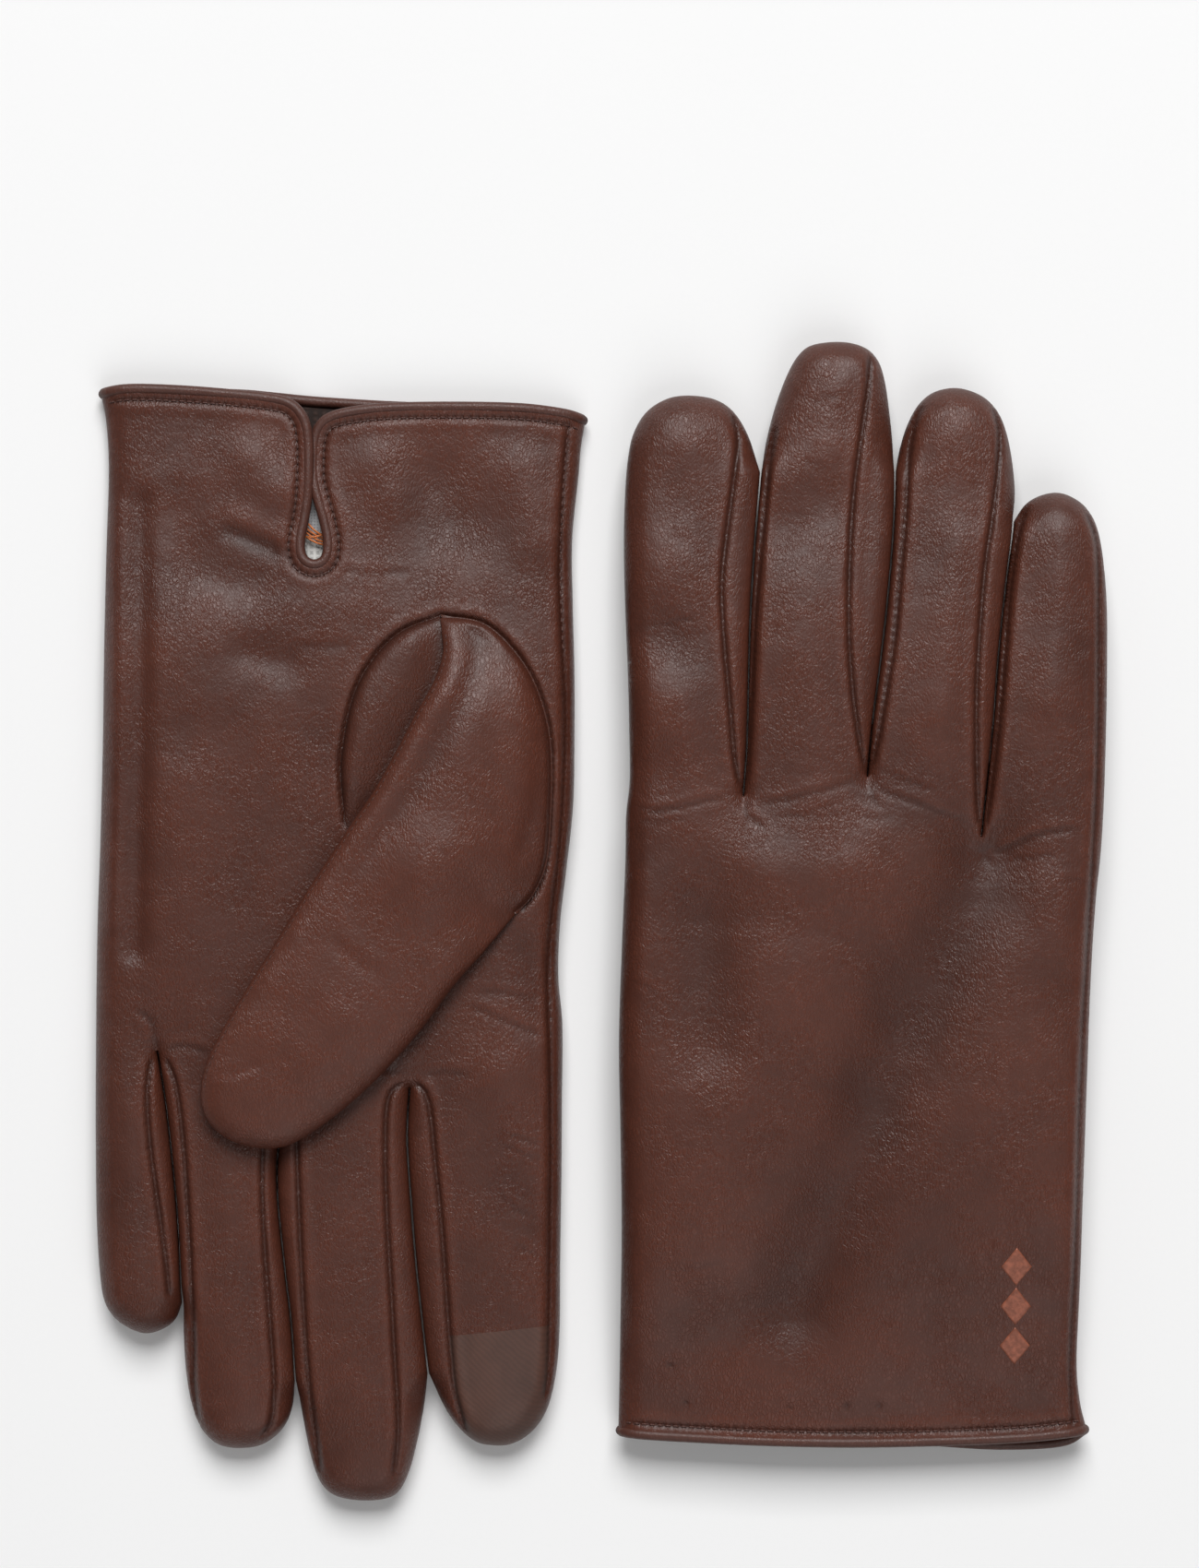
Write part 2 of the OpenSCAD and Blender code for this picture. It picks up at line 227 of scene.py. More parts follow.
def spline(points, step=1.0):
    """Catmull-Rom curve through the points, resampled evenly at about step."""
    p = np.array(points, float)
    p = np.vstack([2 * p[0] - p[1], p, 2 * p[-1] - p[-2]])
    fine = []
    for a, b, c, d in zip(p[:-3], p[1:-2], p[2:-1], p[3:]):
        t = np.linspace(0, 1, 16, endpoint=False)[:, None]
        fine.append(0.5 * (2 * b + (c - a) * t + (2 * a - 5 * b + 4 * c - d) * t ** 2
                           + (3 * b - 3 * c + d - a) * t ** 3))
    fine = np.vstack(fine + [p[-2:-1]])
    run = run_along(fine)
    count = max(2, round(run[-1] / step) + 1)
    s = np.linspace(0, run[-1], count)
    return np.stack([np.interp(s, run, fine[:, k]) for k in range(fine.shape[1])], axis=1)


FREE = spline(THUMB_FREE, LINE)
RIDGE = spline(THUMB_FREE[:15], LINE)     # the part of FREE that the pocket joins
ROOT = spline(THUMB_ROOT, LINE)
POCKET = spline(THUMB_POCKET, LINE)
OVAL = np.vstack([ROOT, POCKET])          # the opening in the palm


def measure(points, line):
    """Distance of each point to a polyline, how far along it, and on which side (+1 left)."""
    best = np.full(len(points), 1e9)
    along = np.zeros(len(points))
    side = np.ones(len(points))
    run = 0.0
    for a, b in zip(line[:-1], line[1:]):
        d = b - a
        size = math.hypot(*d)
        if size < 1e-9:
            continue
        rel = points - a
        t = np.clip((rel @ d) / size ** 2, 0, 1)
        off = rel - t[:, None] * d
        dist = np.hypot(off[:, 0], off[:, 1])
        near = dist < best
        best[near] = dist[near]
        along[near] = run + t[near] * size
        side[near] = np.sign(d[0] * rel[near, 1] - d[1] * rel[near, 0])
        run += size
    return best, along, side


def inside(points, loop):
    """Which points lie inside a closed loop."""
    x, y = points[:, 0], points[:, 1]
    hit = np.zeros(len(points), bool)
    for (x0, y0), (x1, y1) in zip(loop, np.roll(loop, -1, axis=0)):
        cross = (y0 > y) != (y1 > y)
        if y1 != y0:
            hit ^= cross & (x < (x1 - x0) * (y - y0) / (y1 - y0) + x0)
    return hit


def smooth(t):
    """A soft step from 0 at t = 0 to 1 at t = 1."""
    t = np.clip(t, 0, 1)
    return t * t * (3 - 2 * t)


def round_off(t):
    """Quarter-round edge: 0 at the edge with a steep start, 1 from t = 1 on."""
    t = np.clip(t, 0, 1)
    return np.sqrt(np.clip(1 - (1 - t) ** 2, 0, 1))


def crown(d, reach):
    """Rise from the edge to the middle of a face, at distances d from the edge."""
    return 0.78 * round_off(d / reach) + 0.22 * smooth(d / 14)


def bump(t):
    """A bell: 1 at t = 0, next to nothing from t = 2 on."""
    return np.exp(-t * t)


def near_line(points, line, margin):
    """Which points lie in the line's box, grown by the margin."""
    low, high = line.min(axis=0) - margin, line.max(axis=0) + margin
    return ((points > low) & (points < high)).all(axis=1)


def noise_at(points, scale, seed, stretch=(1, 1), turn=0.0):
    """Smooth noise, -1 to 1, with features about scale mm wide."""
    c, s = math.cos(turn), math.sin(turn)
    u = (points[:, 0] * c + points[:, 1] * s) / (scale * stretch[0])
    v = (points[:, 1] * c - points[:, 0] * s) / (scale * stretch[1])
    return np.array([noise.noise(Vector((a, b, seed))) for a, b in zip(u, v)])


# ---------------------------------------------------------------- shape of each glove

class Glove:
    """The plan, the heights and the meshes of one glove."""

    def __init__(self, side):
        self.side = side
        self.plan = PLAN[side]
        self.low = self.plan["low"]
        self.turn = 1 if side == "right" else -1
        self.slots = [spline(s, LINE) for s in self.plan["slots"]]
        self.seams = [tuple(spline(s, LINE) for s in pair) for pair in self.plan["slot_seams"]]
        self.edge_seams = {k: spline(v, LINE) for k, v in self.plan["edge_seams"].items()}
        self.rim = self.make_rim()
        self.outline = spline(self.plan["index_side"], 1.5)
        self.outer = [spline(line, 1.5) for line in
                      (self.plan["index_side"], self.plan["tips"][1], self.plan["tips"][2],
                       self.plan["little_side"])]
        self.cuffs = {True: spline(self.plan["cuff"], LINE),      # of the face turned up
                      False: spline(self.plan["under_cuff"], LINE)}

    def palm_rest(self, p):
        """The palm's face where the thumb lies on it, taken straight across the finger slots."""
        if self.side == "right":
            return self.low - self.sag(p)
        d = measure_many(p, [self.outline])
        swell = sum(swell_height(p, *swell) for swell in SWELLS["left"])
        return (self.low + self.thickness(p) * (WAIST + 0.58 * crown(d, EDGE_ROUND))
                + swell * smooth(d / 3))

    def make_rim(self):
        """The silhouette from the cuff's index corner round the fingers to the other corner."""
        parts = [spline(self.plan["index_side"] + [self.slot_edge(0, -1)[-1]], GRID)]
        for k in range(3):
            parts.append(self.slot_edge(k, -1)[::-1])
            parts.append(self.slot_edge(k, 1))
            if k < 2:
                tip = [parts[-1][-1]] + self.plan["tips"][k + 1] + [self.slot_edge(k + 1, -1)[-1]]
                parts.append(spline(tip, GRID))
        parts.append(spline([parts[-1][-1]] + self.plan["little_side"], GRID))
        rim = np.vstack(parts)
        keep = np.concatenate([[True], np.linalg.norm(np.diff(rim, axis=0), axis=1) > 0.1])
        return rim[keep]

    def slot_edge(self, k, which):
        """One edge of a slot, from the crotch to the notch between the fingertips."""
        line = self.slots[k]
        d = unit(np.gradient(line, axis=0))
        side = np.stack([d[:, 1], -d[:, 0]], axis=1) * which * SLOT / 2
        shrink = np.clip(np.arange(len(line)) / 2.0 + 0.4, 0, 1)[:, None]
        return line + side * shrink

    def world(self, points, z):
        """The frame's metres for plan points and heights above the table in mm."""
        return np.stack([points[:, 0] * self.turn, points[:, 1] * self.turn, z], axis=1) * MM

    # -------- heights

    def sag(self, p):
        """How far the right glove's ends hang below its middle, which lies on the thumb."""
        if self.side == "left":
            return np.zeros(len(p))
        return 4.6 * smooth((p[:, 1] - 40) / 80) + 4.8 * smooth((-70 - p[:, 1]) / 45)

    def thickness(self, p):
        """Full thickness of the flat glove: thin at the cuff and a little less at the tips."""
        v = p[:, 1]
        return 8.2 + 4.6 * smooth((v + 116) / 70) - 1.2 * smooth((v - 86) / 40)

    def surface(self, p, top, detail="full"):
        """Heights of the top or the under side at plan points; detail is full, broad or none."""
        d, _, _ = measure(p, self.rim)
        thick = self.thickness(p)
        between = smooth((measure_many(p, self.outer) - 2) / 7)
        waist = thick * (WAIST + 0.26 * between)
        if not top:
            return self.low - self.sag(p) + waist * (1 - round_off(d / UNDER_ROUND))
        z = waist + (thick - waist) * crown(d, EDGE_ROUND - 2.0 * between)
        if detail != "none":
            z += self.broad_relief(p, d)
        if detail == "full":
            z += self.fine_relief(p, d) * smooth(d / 0.5)
        return self.low - self.sag(p) + z

    def broad_relief(self, p, d):
        """Soft unevenness of the upper side, and the lift of the flaps at the vent."""
        edge = smooth(d / 3)
        z = edge * 0.3 * noise_at(p, 34, 3.1 if self.side == "left" else 8.4)
        for swell in SWELLS[self.side]:
            z += swell_height(p, *swell) * edge
        if self.side == "left":
            near = smooth((-92 - p[:, 1]) / 12) * bump((p[:, 0] - VENT_U) / 5)
            z += 0.8 * near * np.where(p[:, 0] > VENT_U, 1, -1)
        return z

    def fine_relief(self, p, d):
        """Seams, stitched rows, creases and wrinkles of the side that shows."""
        z = np.zeros(len(p))
        edge = smooth(d / 3)
        z += self.seam(p, clean_beside(self, True), 0.36, 0.5, STITCH_PITCH, 0.55)
        if self.side == "left":
            z += self.seam(p, OVAL, 0.8, 0.8)
        for pair in self.seams:
            for line in pair:
                z += self.seam(p, line, 0.75, 0.55)
        for line in self.edge_seams.values():
            z += self.seam(p, line, 0.55, 0.5)
        z += edge * 0.22 * noise_at(p, 13, 5.7, (1, 1.6), 0.5)
        z += edge * 0.07 * noise_at(p, 4.2, 2.2, (1.8, 1), 0.3)
        if self.side == "right":
            for dimple in DIMPLES:
                z -= 0.4 * bump(np.hypot(*(p - dimple).T) / 0.6)
        for crease in CREASES[self.side]:
            z += crease_depth(p, *crease) * edge
        for patch in WRINKLES[self.side]:
            z += wrinkle_patch(p, *patch) * edge
        return z

    def seam(self, p, line, depth, width, pitch=1.9, pull=0.25):
        """A sewn groove with small puckers at every stitch and a soft roll on each side."""
        near = np.zeros(len(p))
        box = near_line(p, line, 4)
        if not box.any():
            return near
        dist, along, _ = measure(p[box], line)
        total = run_along(line)[-1]
        ends = smooth(along / 3) * smooth((total - along) / 3)
        pucker = 1 + pull * np.cos(2 * math.pi * along / pitch)
        near[box] = ends * (0.22 * bump((dist - 1.7) / 0.9) - depth * pucker * bump(dist / width))
        return near


def crease_depth(p, points, depth, width):
    """One soft crease along a given line, fading out at both ends, with a lip beside it."""
    line = spline(points, 1.0)
    z = np.zeros(len(p))
    box = near_line(p, line, 5 * width)
    if not box.any():
        return z
    dist, along, side = measure(p[box], line)
    total = run_along(line)[-1]
    fade = smooth(along / (0.25 * total)) * smooth((total - along) / (0.3 * total))
    z[box] = fade * depth * (0.55 * bump((dist * side - 2 * width) / (1.3 * width))
                             - bump(dist / width))
    return z


def wrinkle_patch(p, centre, size, turn, pitch, height):
    """A patch of fine, nearly parallel wrinkles that run along the direction turn (radians)."""
    rel = p - np.array(centre)
    c, s = math.cos(turn), math.sin(turn)
    along, across = rel[:, 0] * c + rel[:, 1] * s, rel[:, 1] * c - rel[:, 0] * s
    fade = np.exp(-(along / size[0]) ** 2 - (across / size[1]) ** 2)
    near = fade > 0.03
    z = np.zeros(len(p))
    if near.any():
        q = p[near]
        warp = 2.2 * noise_at(q, 7, 1.3) + 0.9 * noise_at(q, 2.6, 4.1)
        wave = np.sin(2 * math.pi * across[near] / pitch + warp)
        z[near] = height * fade[near] * (np.abs(wave) ** 0.7 * 1.2 - 0.7)
    return z


def swell_height(p, points, width, height):
    """A broad raised (or sunken) band along a line, or a mound round a single point."""
    if len(points) == 1:
        return height * bump(np.hypot(*(p - points[0]).T) / width)
    return height * bump(measure(p, spline(points, 2.0))[0] / width)


# Small dents in a row above the right glove's cuff, as a seam or a press leaves.
DIMPLES = np.array([(15.8, -98), (19.3, -106.6), (42.2, -107.4), (54.9, -107.1), (62.1, -107.2)])

# Creases: (points, depth, width), in mm.
CREASES = {
    "right": [
        ([(7.2, 26.7), (11.6, 25.1), (17.7, 25.9), (23.7, 27.4), (30.6, 29)], 0.34, 0.6),
        ([(8, 23.4), (14, 22.6), (20, 23.8)], 0.16, 0.5),
        ([(33.4, 27.4), (38, 27), (43.4, 28.2), (51, 30.1), (58.4, 32.4)], 0.3, 0.6),
        ([(38, 23.6), (46, 24.6), (54, 27.4)], 0.2, 0.5),
        ([(59.8, 32.2), (62.4, 29.5), (70, 26.7), (76, 24.4), (83, 22.6)], 0.3, 0.6),
        ([(62, 34.4), (68, 31.6), (75, 29.4)], 0.18, 0.5),
        ([(31.8, 26.6), (32.4, 24.2), (34.3, 22.8), (37, 21)], 0.3, 0.6),
        ([(59.4, 30), (60.4, 27.6), (62.8, 25.4)], 0.22, 0.6),
        ([(84.4, 17.4), (85, 15), (87.4, 12.8)], 0.28, 0.7),
        ([(85, 19), (88.2, 16), (95, 19.1), (101, 20.7), (108.6, 21.3)], 0.4, 0.7),
        ([(90, 14.4), (97, 15), (103, 16.6)], 0.22, 0.6),
        ([(41, 24), (47, 23.4), (54, 24.6), (61, 23.5), (67, 24.8)], 0.12, 0.6),
        ([(100.6, 9.2), (104, 9.9), (108.4, 9.4)], 0.25, 0.5),
        ([(9.2, 66), (14, 66.2), (19, 67.4), (24.6, 68)], 0.2, 0.5),
        ([(46.4, 115.2), (50.6, 116.8), (55.6, 117.4)], 0.2, 0.5),
        ([(44, 102.6), (49, 101.4), (55, 101.8)], 0.12, 0.5),
        ([(11.6, -76), (20, -75.6), (29.6, -74.4)], 0.12, 0.8),
        ([(6.4, -12), (10, -13.4), (14, -17)], 0.18, 0.5),
    ],
    "left": [
        ([(86.4, -88.8), (77, -85), (71, -82), (67.4, -79.6)], 0.5, 1.9),
        ([(60.2, -79), (50, -77.8), (38.6, -78.6)], 0.14, 0.8),
        ([(22.4, 46), (17.6, 47.6), (11.6, 49.6)], 0.22, 0.5),
        ([(22.8, 48.4), (16.1, 51.4), (11.4, 53)], 0.25, 0.5),
        ([(23, 58.6), (18.4, 63.4), (12.4, 66)], 0.2, 0.5),
        ([(19, 70.8), (14, 73.6), (11.4, 74.4)], 0.2, 0.5),
        ([(31.4, 17.4), (24, 20.2), (17, 23.4), (10.4, 25.6)], 0.3, 0.7),
        ([(28.4, 15), (20.6, 15.6), (12.4, 17.4)], 0.22, 0.7),
        ([(98.8, 27), (99.6, 22), (103.6, 18.6)], 0.4, 0.7),
        ([(97.4, 28.4), (92, 27.2), (86, 29)], 0.35, 0.7),
        ([(43, 34), (50, 31.6), (56, 31)], 0.25, 0.7),
        ([(41.2, 34.4), (34, 33), (27, 34.2)], 0.25, 0.7),
        ([(70, -62), (60, -61.4), (52, -62.4)], 0.12, 1.0),
    ],
}

# Patches of fine wrinkles: (centre, (half length, half width), direction, pitch, height).
WRINKLES = {
    "right": [
        ((10, -14), (7, 6), -0.6, 1.5, 0.10), ((100, 0), (8, 8), -0.35, 1.6, 0.10),
        ((26, 34), (6, 8), -0.9, 1.4, 0.09), ((45, 36), (11, 7), 0.05, 1.5, 0.07),
        ((73, 37), (8, 9), 0.4, 1.5, 0.08), ((42, 20), (10, 6), 0.4, 1.6, 0.08),
        ((101, 27), (8, 7), 0.3, 1.5, 0.09), ((20, 66), (9, 5), 0.1, 1.4, 0.06),
        ((46, 72), (8, 8), 0.1, 1.5, 0.05), ((75, 74), (8, 8), 0.2, 1.5, 0.05),
        ((72, 14), (14, 7), -0.15, 1.8, 0.06), ((24, -76), (12, 5), 0.1, 1.6, 0.05),
        ((52, 114), (7, 7), 0.2, 1.4, 0.06), ((101, 60), (7, 12), 0.5, 1.5, 0.06),
    ],
    "left": [
        ((16, 50), (8, 6), -0.45, 1.5, 0.10), ((16, 66), (7, 9), -0.9, 1.5, 0.09),
        ((57, 56), (8, 5), 0.1, 1.5, 0.07), ((52, 78), (4, 12), 0.2, 1.5, 0.07),
        ((97, 64), (3, 12), 0.5, 1.4, 0.09), ((100, 20), (9, 9), 0.6, 1.6, 0.08),
        ((79, 80), (5, 14), 0.3, 1.5, 0.05), ((36, 30), (9, 6), 0.1, 1.6, 0.07),
        ((75, -48), (16, 8), 0.1, 1.9, 0.05), ((20, 24), (10, 6), -0.3, 1.6, 0.08),
        ((52, 117), (8, 5), 0.5, 1.3, 0.06), ((108, -40), (2.5, 50), 1.35, 1.7, 0.07),
        ((7, -10), (2.5, 60), 1.5, 1.8, 0.06),
    ],
}

# Broad swells: (points, width, height).
SWELLS = {
    "right": [
        ([(86, 14), (68, -22), (54, -58), (43, -84)], 9.5, -3.3),
        ([(12, -80), (26, -50), (38, -10)], 14, 1.8),
        ([(90, -60), (90, -10)], 13, 0.8),
        ([(23, 0), (24, -26)], 8, -1.5),
        ([(9, 8), (8, -6)], 7, 0.6),
        ([(38, 12), (54, 12)], 9, 1.6),
        ([(99, 8), (104, -4)], 6, 0.7),
        ([(40, -102), (62, -99)], 11, 1.6),
        ([(30, -88), (22, -92)], 7, -0.7),
        ([(103, -80), (104, -30)], 5, 0.6),
        ([(14, 79)], 9, 0.9),
        ([(15, 63)], 7, -0.9),
        ([(14, 48)], 10, 0.7),
        ([(13, 35)], 7, -0.7),
        ([(18, 107)], 9, 1.1),
        ([(51, 118)], 9, 0.7),
        ([(79, 109)], 9, 0.9),
        ([(102, 86)], 8, 0.9),
        ([(41, 100), (50, 106)], 7, 0.8),
        ([(42, 88), (50, 92)], 7, -0.7),
        ([(42, 62), (44, 74)], 9, 0.8),
        ([(76, 48), (80, 84)], 5, 0.7),
        ([(100, 50), (102, 76)], 5, 0.7),
    ],
    "left": [
        ([(102.6, -94), (102.2, -60), (102.4, -30), (103.4, 6)], 2.8, -1.2),
        ([(108.2, -94), (108, -50), (108.4, 0)], 2.2, 0.4),
        ([(90, -77), (78, -75)], 6, -0.8),
        ([(90, -64), (70, -70), (60, -70)], 9, 0.5),
        ([(94, -90), (92, -84)], 7, -1.0),
        ([(78, -103), (72, -97)], 6, 1.1),
        ([(49, -102), (46, -96)], 6, 1.1),
        ([(35, -97), (32, -90)], 8, -1.2),
        ([(17, -101), (14, -86)], 6, 1.0),
        ([(86, -52), (76, -48)], 9, 0.4),
        ([(78, -60), (70, -58)], 4, -0.7),
        ([(92, -30), (92, 6)], 8, 0.9),
        ([(56, 22), (62, 32)], 6, 0.8),
        ([(22, 34)], 7, 0.8),
        ([(15, 8), (14, 20)], 5, -0.6),
    ],
}


# ---------------------------------------------------------------- meshes

def mesh_object(name, verts, faces, material, normals=None):
    """A smooth-shaded object, with normals of its own where they are given."""
    mesh = bpy.data.meshes.new(name)
    mesh.from_pydata([tuple(v) for v in verts], [], [tuple(int(i) for i in f) for f in faces])
    mesh.materials.append(material)
    mesh.polygons.foreach_set("use_smooth", [True] * len(mesh.polygons))
    mesh.update()
    if normals is not None:
        mesh.normals_split_custom_set_from_vertices([tuple(n) for n in normals])
    obj = bpy.data.objects.new(name, mesh)
    bpy.context.scene.collection.objects.link(obj)
    return obj


def take_over(node):
    """Hides the CAD node that a built piece stands in for."""
    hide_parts(node)


def triangulate(loop, extra, lines):
    """Triangles over the inside of a closed loop that use the extra points and keep the lines."""
    coords = [tuple(p) for p in loop]
    count = len(loop)
    edges = [(i, (i + 1) % count) for i in range(count)]
    for line in lines:
        start = len(coords)
        coords += [tuple(p) for p in line]
        edges += [(start + i, start + i + 1) for i in range(len(line) - 1)]
    coords += [tuple(p) for p in extra]
    out = geometry.delaunay_2d_cdt([Vector(c) for c in coords], edges, [], 0, 1e-4)
    points = np.array([tuple(v) for v in out[0]])
    for i, source in enumerate(out[3]):
        if source and source[0] < count:
            points[i] = loop[source[0]]
    faces = np.array(out[2], int)
    a, b, c = points[faces[:, 0]], points[faces[:, 1]], points[faces[:, 2]]
    area = (b[:, 0] - a[:, 0]) * (c[:, 1] - a[:, 1]) - (b[:, 1] - a[:, 1]) * (c[:, 0] - a[:, 0])
    good = np.abs(area) > 1e-5
    good[good] &= inside((a + b + c)[good] / 3, loop)
    faces, area = faces[good], area[good]
    faces[area < 0] = faces[area < 0][:, ::-1]
    return points, faces


def hex_grid(loop, step):
    """Points inside the loop on a triangular grid."""
    low, high = loop.min(axis=0), loop.max(axis=0)
    rows = []
    for k, v in enumerate(np.arange(low[1], high[1], step * 0.866)):
        u = np.arange(low[0] + (k % 2) * step / 2, high[0], step)
        rows.append(np.stack([u, np.full(len(u), v)], axis=1))
    grid = np.vstack(rows)
    return grid[inside(grid, loop)]


def beside(line, offset):
    """The line moved sideways by offset, to its right."""
    d = unit(np.gradient(line, axis=0))
    return line + np.stack([d[:, 1], -d[:, 0]], axis=1) * offset


def fill_points(loop, edges, seams, step, rings):
    """Points for a sheet: rings along its rounded edges, rows beside its seams, and a grid."""
    chosen = []
    for ring in rings:
        line = np.vstack([beside(e, ring) for e in edges])
        line = line[inside(line, loop)]
        chosen.append(line[measure_many(line, edges) > 0.92 * ring])
    for offset in SEAM_ROWS if seams else ():
        for line in seams:
            for way in (-1, 1):
                row = beside(line, way * offset)
                row = row[inside(row, loop)]
                keep = measure_many(row, seams) > 0.9 * offset
                keep &= measure_many(row, edges) > 0.3
                chosen.append(row[keep])
    grid = hex_grid(loop, step)
    keep = measure_many(grid, edges) > rings[-1] + 0.45 * step
    if seams:
        keep &= measure_many(grid, seams) > SEAM_ROWS[-1] + 0.45 * step
    chosen.append(grid[keep])
    points = np.vstack(chosen)
    cells = np.round(points / 0.22).astype(int)
    _, first = np.unique(cells, axis=0, return_index=True)
    return points[np.sort(first)]


def measure_many(points, lines):
    """Distance to the nearest of the lines, as far as it is within 8 mm."""
    best = np.full(len(points), 1e9)
    for line in lines:
        box = near_line(points, line, 8)
        if box.any():
            best[box] = np.minimum(best[box], measure(points[box], line)[0])
    return best


def clip_line(line, edges, margin=0.45):
    """The part of a seam that lies clear of the sheet's edges."""
    return line[measure_many(line, edges) > margin]


def weld(verts):
    """The first of each set of coincident points, and which set each point is in."""
    _, first, same = np.unique(np.round(verts / WELD).astype(np.int64), axis=0,
                               return_index=True, return_inverse=True)
    return first, same.reshape(-1)


def vertex_normals(verts, faces):
    """Smooth normals, worked out across coincident points of different sheets."""
    a, b, c = verts[faces[:, 0]], verts[faces[:, 1]], verts[faces[:, 2]]
    face = np.cross(b - a, c - a)
    _, same = weld(verts)
    total = np.zeros((same.max() + 1, 3))
    for k in range(3):
        np.add.at(total, same[faces[:, k]], face)
    return unit(total)[same]


def shell(name, verts, normals, faces, material, thick=LEATHER * MM, painted_shading=None):
    """A closed shell: the faces given, a second skin inside them, and a rim round both."""
    first, same = weld(verts)
    faces = first[same][faces]
    a, b, c = faces.T
    faces = faces[(a != b) & (b != c) & (c != a)]
    _, twin, count = np.unique(np.sort(faces, axis=1), axis=0, return_inverse=True,
                               return_counts=True)
    faces = faces[count[twin.reshape(-1)] == 1]
    used, local = np.unique(faces, return_inverse=True)
    local = local.reshape(faces.shape)
    outer, n = verts[used], normals[used]
    inner = outer - n * thick
    count = len(used)
    pairs = {}
    for f in local:
        for i in range(3):
            pairs[(f[i], f[(i + 1) % 3])] = True
    rim = [(b, a, a + count, b + count) for a, b in pairs if (b, a) not in pairs]
    all_faces = [tuple(f) for f in local] + [tuple(f[::-1] + count) for f in local] + rim
    obj = mesh_object(name, np.vstack([outer, inner]), all_faces, material, np.vstack([n, -n]))
    # Painted shading attribute: painted shade in grooves and hollows, painted highlight on raised
    # parts.
    if painted_shading is not None:
        depth = obj.data.attributes.new("painted_shading", "FLOAT", "POINT")
        depth.data.foreach_set("value", np.tile(painted_shading[used], 2))
    return obj


def ring_faces(rings, sides, closed=False, base=0):
    """Faces of a tube whose points come ring by ring, with flat ends unless it is closed."""
    faces = []
    for r in range(rings if closed else rings - 1):
        a, b = base + r * sides, base + (r + 1) % rings * sides
        for k in range(sides):
            m = (k + 1) % sides
            faces.append((a + k, b + k, b + m, a + m))
    if not closed:
        last = base + (rings - 1) * sides
        faces.append(tuple(range(base, base + sides)))
        faces.append(tuple(range(last + sides - 1, last - 1, -1)))
    return faces


def tube(path, radius, sides, closed=False):
    """Vertices and faces of a round tube along a 3-D path, all in metres."""
    if closed:
        tangent = np.roll(path, -1, axis=0) - np.roll(path, 1, axis=0)
    else:
        tangent = np.gradient(path, axis=0)
    tangent = unit(tangent)
    side = unit(np.cross(tangent, [0, 0, 1.0]))
    top = np.cross(side, tangent)
    turns = [2 * math.pi * k / sides for k in range(sides)]
    verts = [path + (side * math.cos(a) + top * math.sin(a)) * radius for a in turns]
    return np.stack(verts, axis=1).reshape(-1, 3), ring_faces(len(path), sides, closed)


# ---------------------------------------------------------------- the gloves' leather

HOLLOW_SHADING = 0.09            # how much a broad hollow is painted darker and a broad swell lighter: painted shade and painted highlight in the leather's colour
CUT = 8.0                # each fingertip piece starts this far before its bend
STRIP = 3.5              # half width of the side strips on the under side
PATCH_LINE = [(9.5, 89.3), (33, 91.6)]      # the seam of the touch patch


def finger_of(glove, p):
    """Which finger each point is on, 0 to 3, or -1 for the hand."""
    column = np.zeros(len(p), int)
    for line, lean in zip(glove.slots, (0, 0, 1)):
        past = lean * smooth((p[:, 1] - line[-1, 1]) / 6)
        column += p[:, 0] > np.interp(p[:, 1], line[:, 1], line[:, 0]) + past
    cut = np.array(glove.plan["bends"])[column] - CUT
    return np.where(p[:, 1] > cut, column, -1)


def beyond(line, p):
    """u of each point minus the line's u at the same v."""
    order = np.argsort(line[:, 1], kind="stable")
    return p[:, 0] - np.interp(p[:, 1], line[order, 1], line[order, 0])


def label_faces(glove, p, top):
    """The name of the piece that each face belongs to."""
    back = top == (glove.side == "right")
    finger = finger_of(glove, p)
    names = np.empty(len(p), object)
    panel = "back" if back else "palm"
    for f, word in enumerate(FINGERS):
        names[finger == f] = f"{word}_{panel}"
    names[finger < 0] = f"{panel}_panel"
    if top:
        for k, (low, high) in enumerate(glove.seams):
            strip = (beyond(low, p) > 0) & (beyond(high, p) < 0)
            strip &= p[:, 1] > min(low[:, 1].min(), high[:, 1].min())
            rename_strip(names, strip, finger, k)
        for where, line in glove.edge_seams.items():
            other = "palm" if back else "back"
            out = beyond(line, p) > 0 if where == "little" else beyond(line, p) < 0
            out &= p[:, 1] < line[:, 1].max() + 4
            tip = 3 if where == "little" else 0
            names[out & (finger < 0)] = f"{other}_panel"
            names[out & (finger == tip)] = f"{FINGERS[tip]}_{other}"
    else:
        for k, line in enumerate(glove.slots):
            strip = measure(p, line)[0] < STRIP
            rename_strip(names, strip & (p[:, 1] > line[:, 1].min() - 1), finger, k)
    if not back:
        patch_v = np.interp(p[:, 0], [q[0] for q in PATCH_LINE], [q[1] for q in PATCH_LINE])
        names[(names == "index_palm") & (p[:, 1] > patch_v)] = "touch_patch"
    return names


def rename_strip(names, strip, finger, k):
    """Gives a fourchette's faces to the hand's strip or to the sides of either finger."""
    names[strip & (finger < 0)] = f"{FINGERS[k]}_{FINGERS[k + 1]}_fourchette"
    for f in (k, k + 1):
        names[strip & (finger == f)] = f"{FINGERS[f]}_sides"


def finger_cuts(glove, step):
    """The line across each finger where its fingertip pieces start."""
    return [spline([(slot_u(glove, f - 1, v), v), (slot_u(glove, f, v), v)], step)
            for f, v in enumerate(b - CUT for b in glove.plan["bends"])]


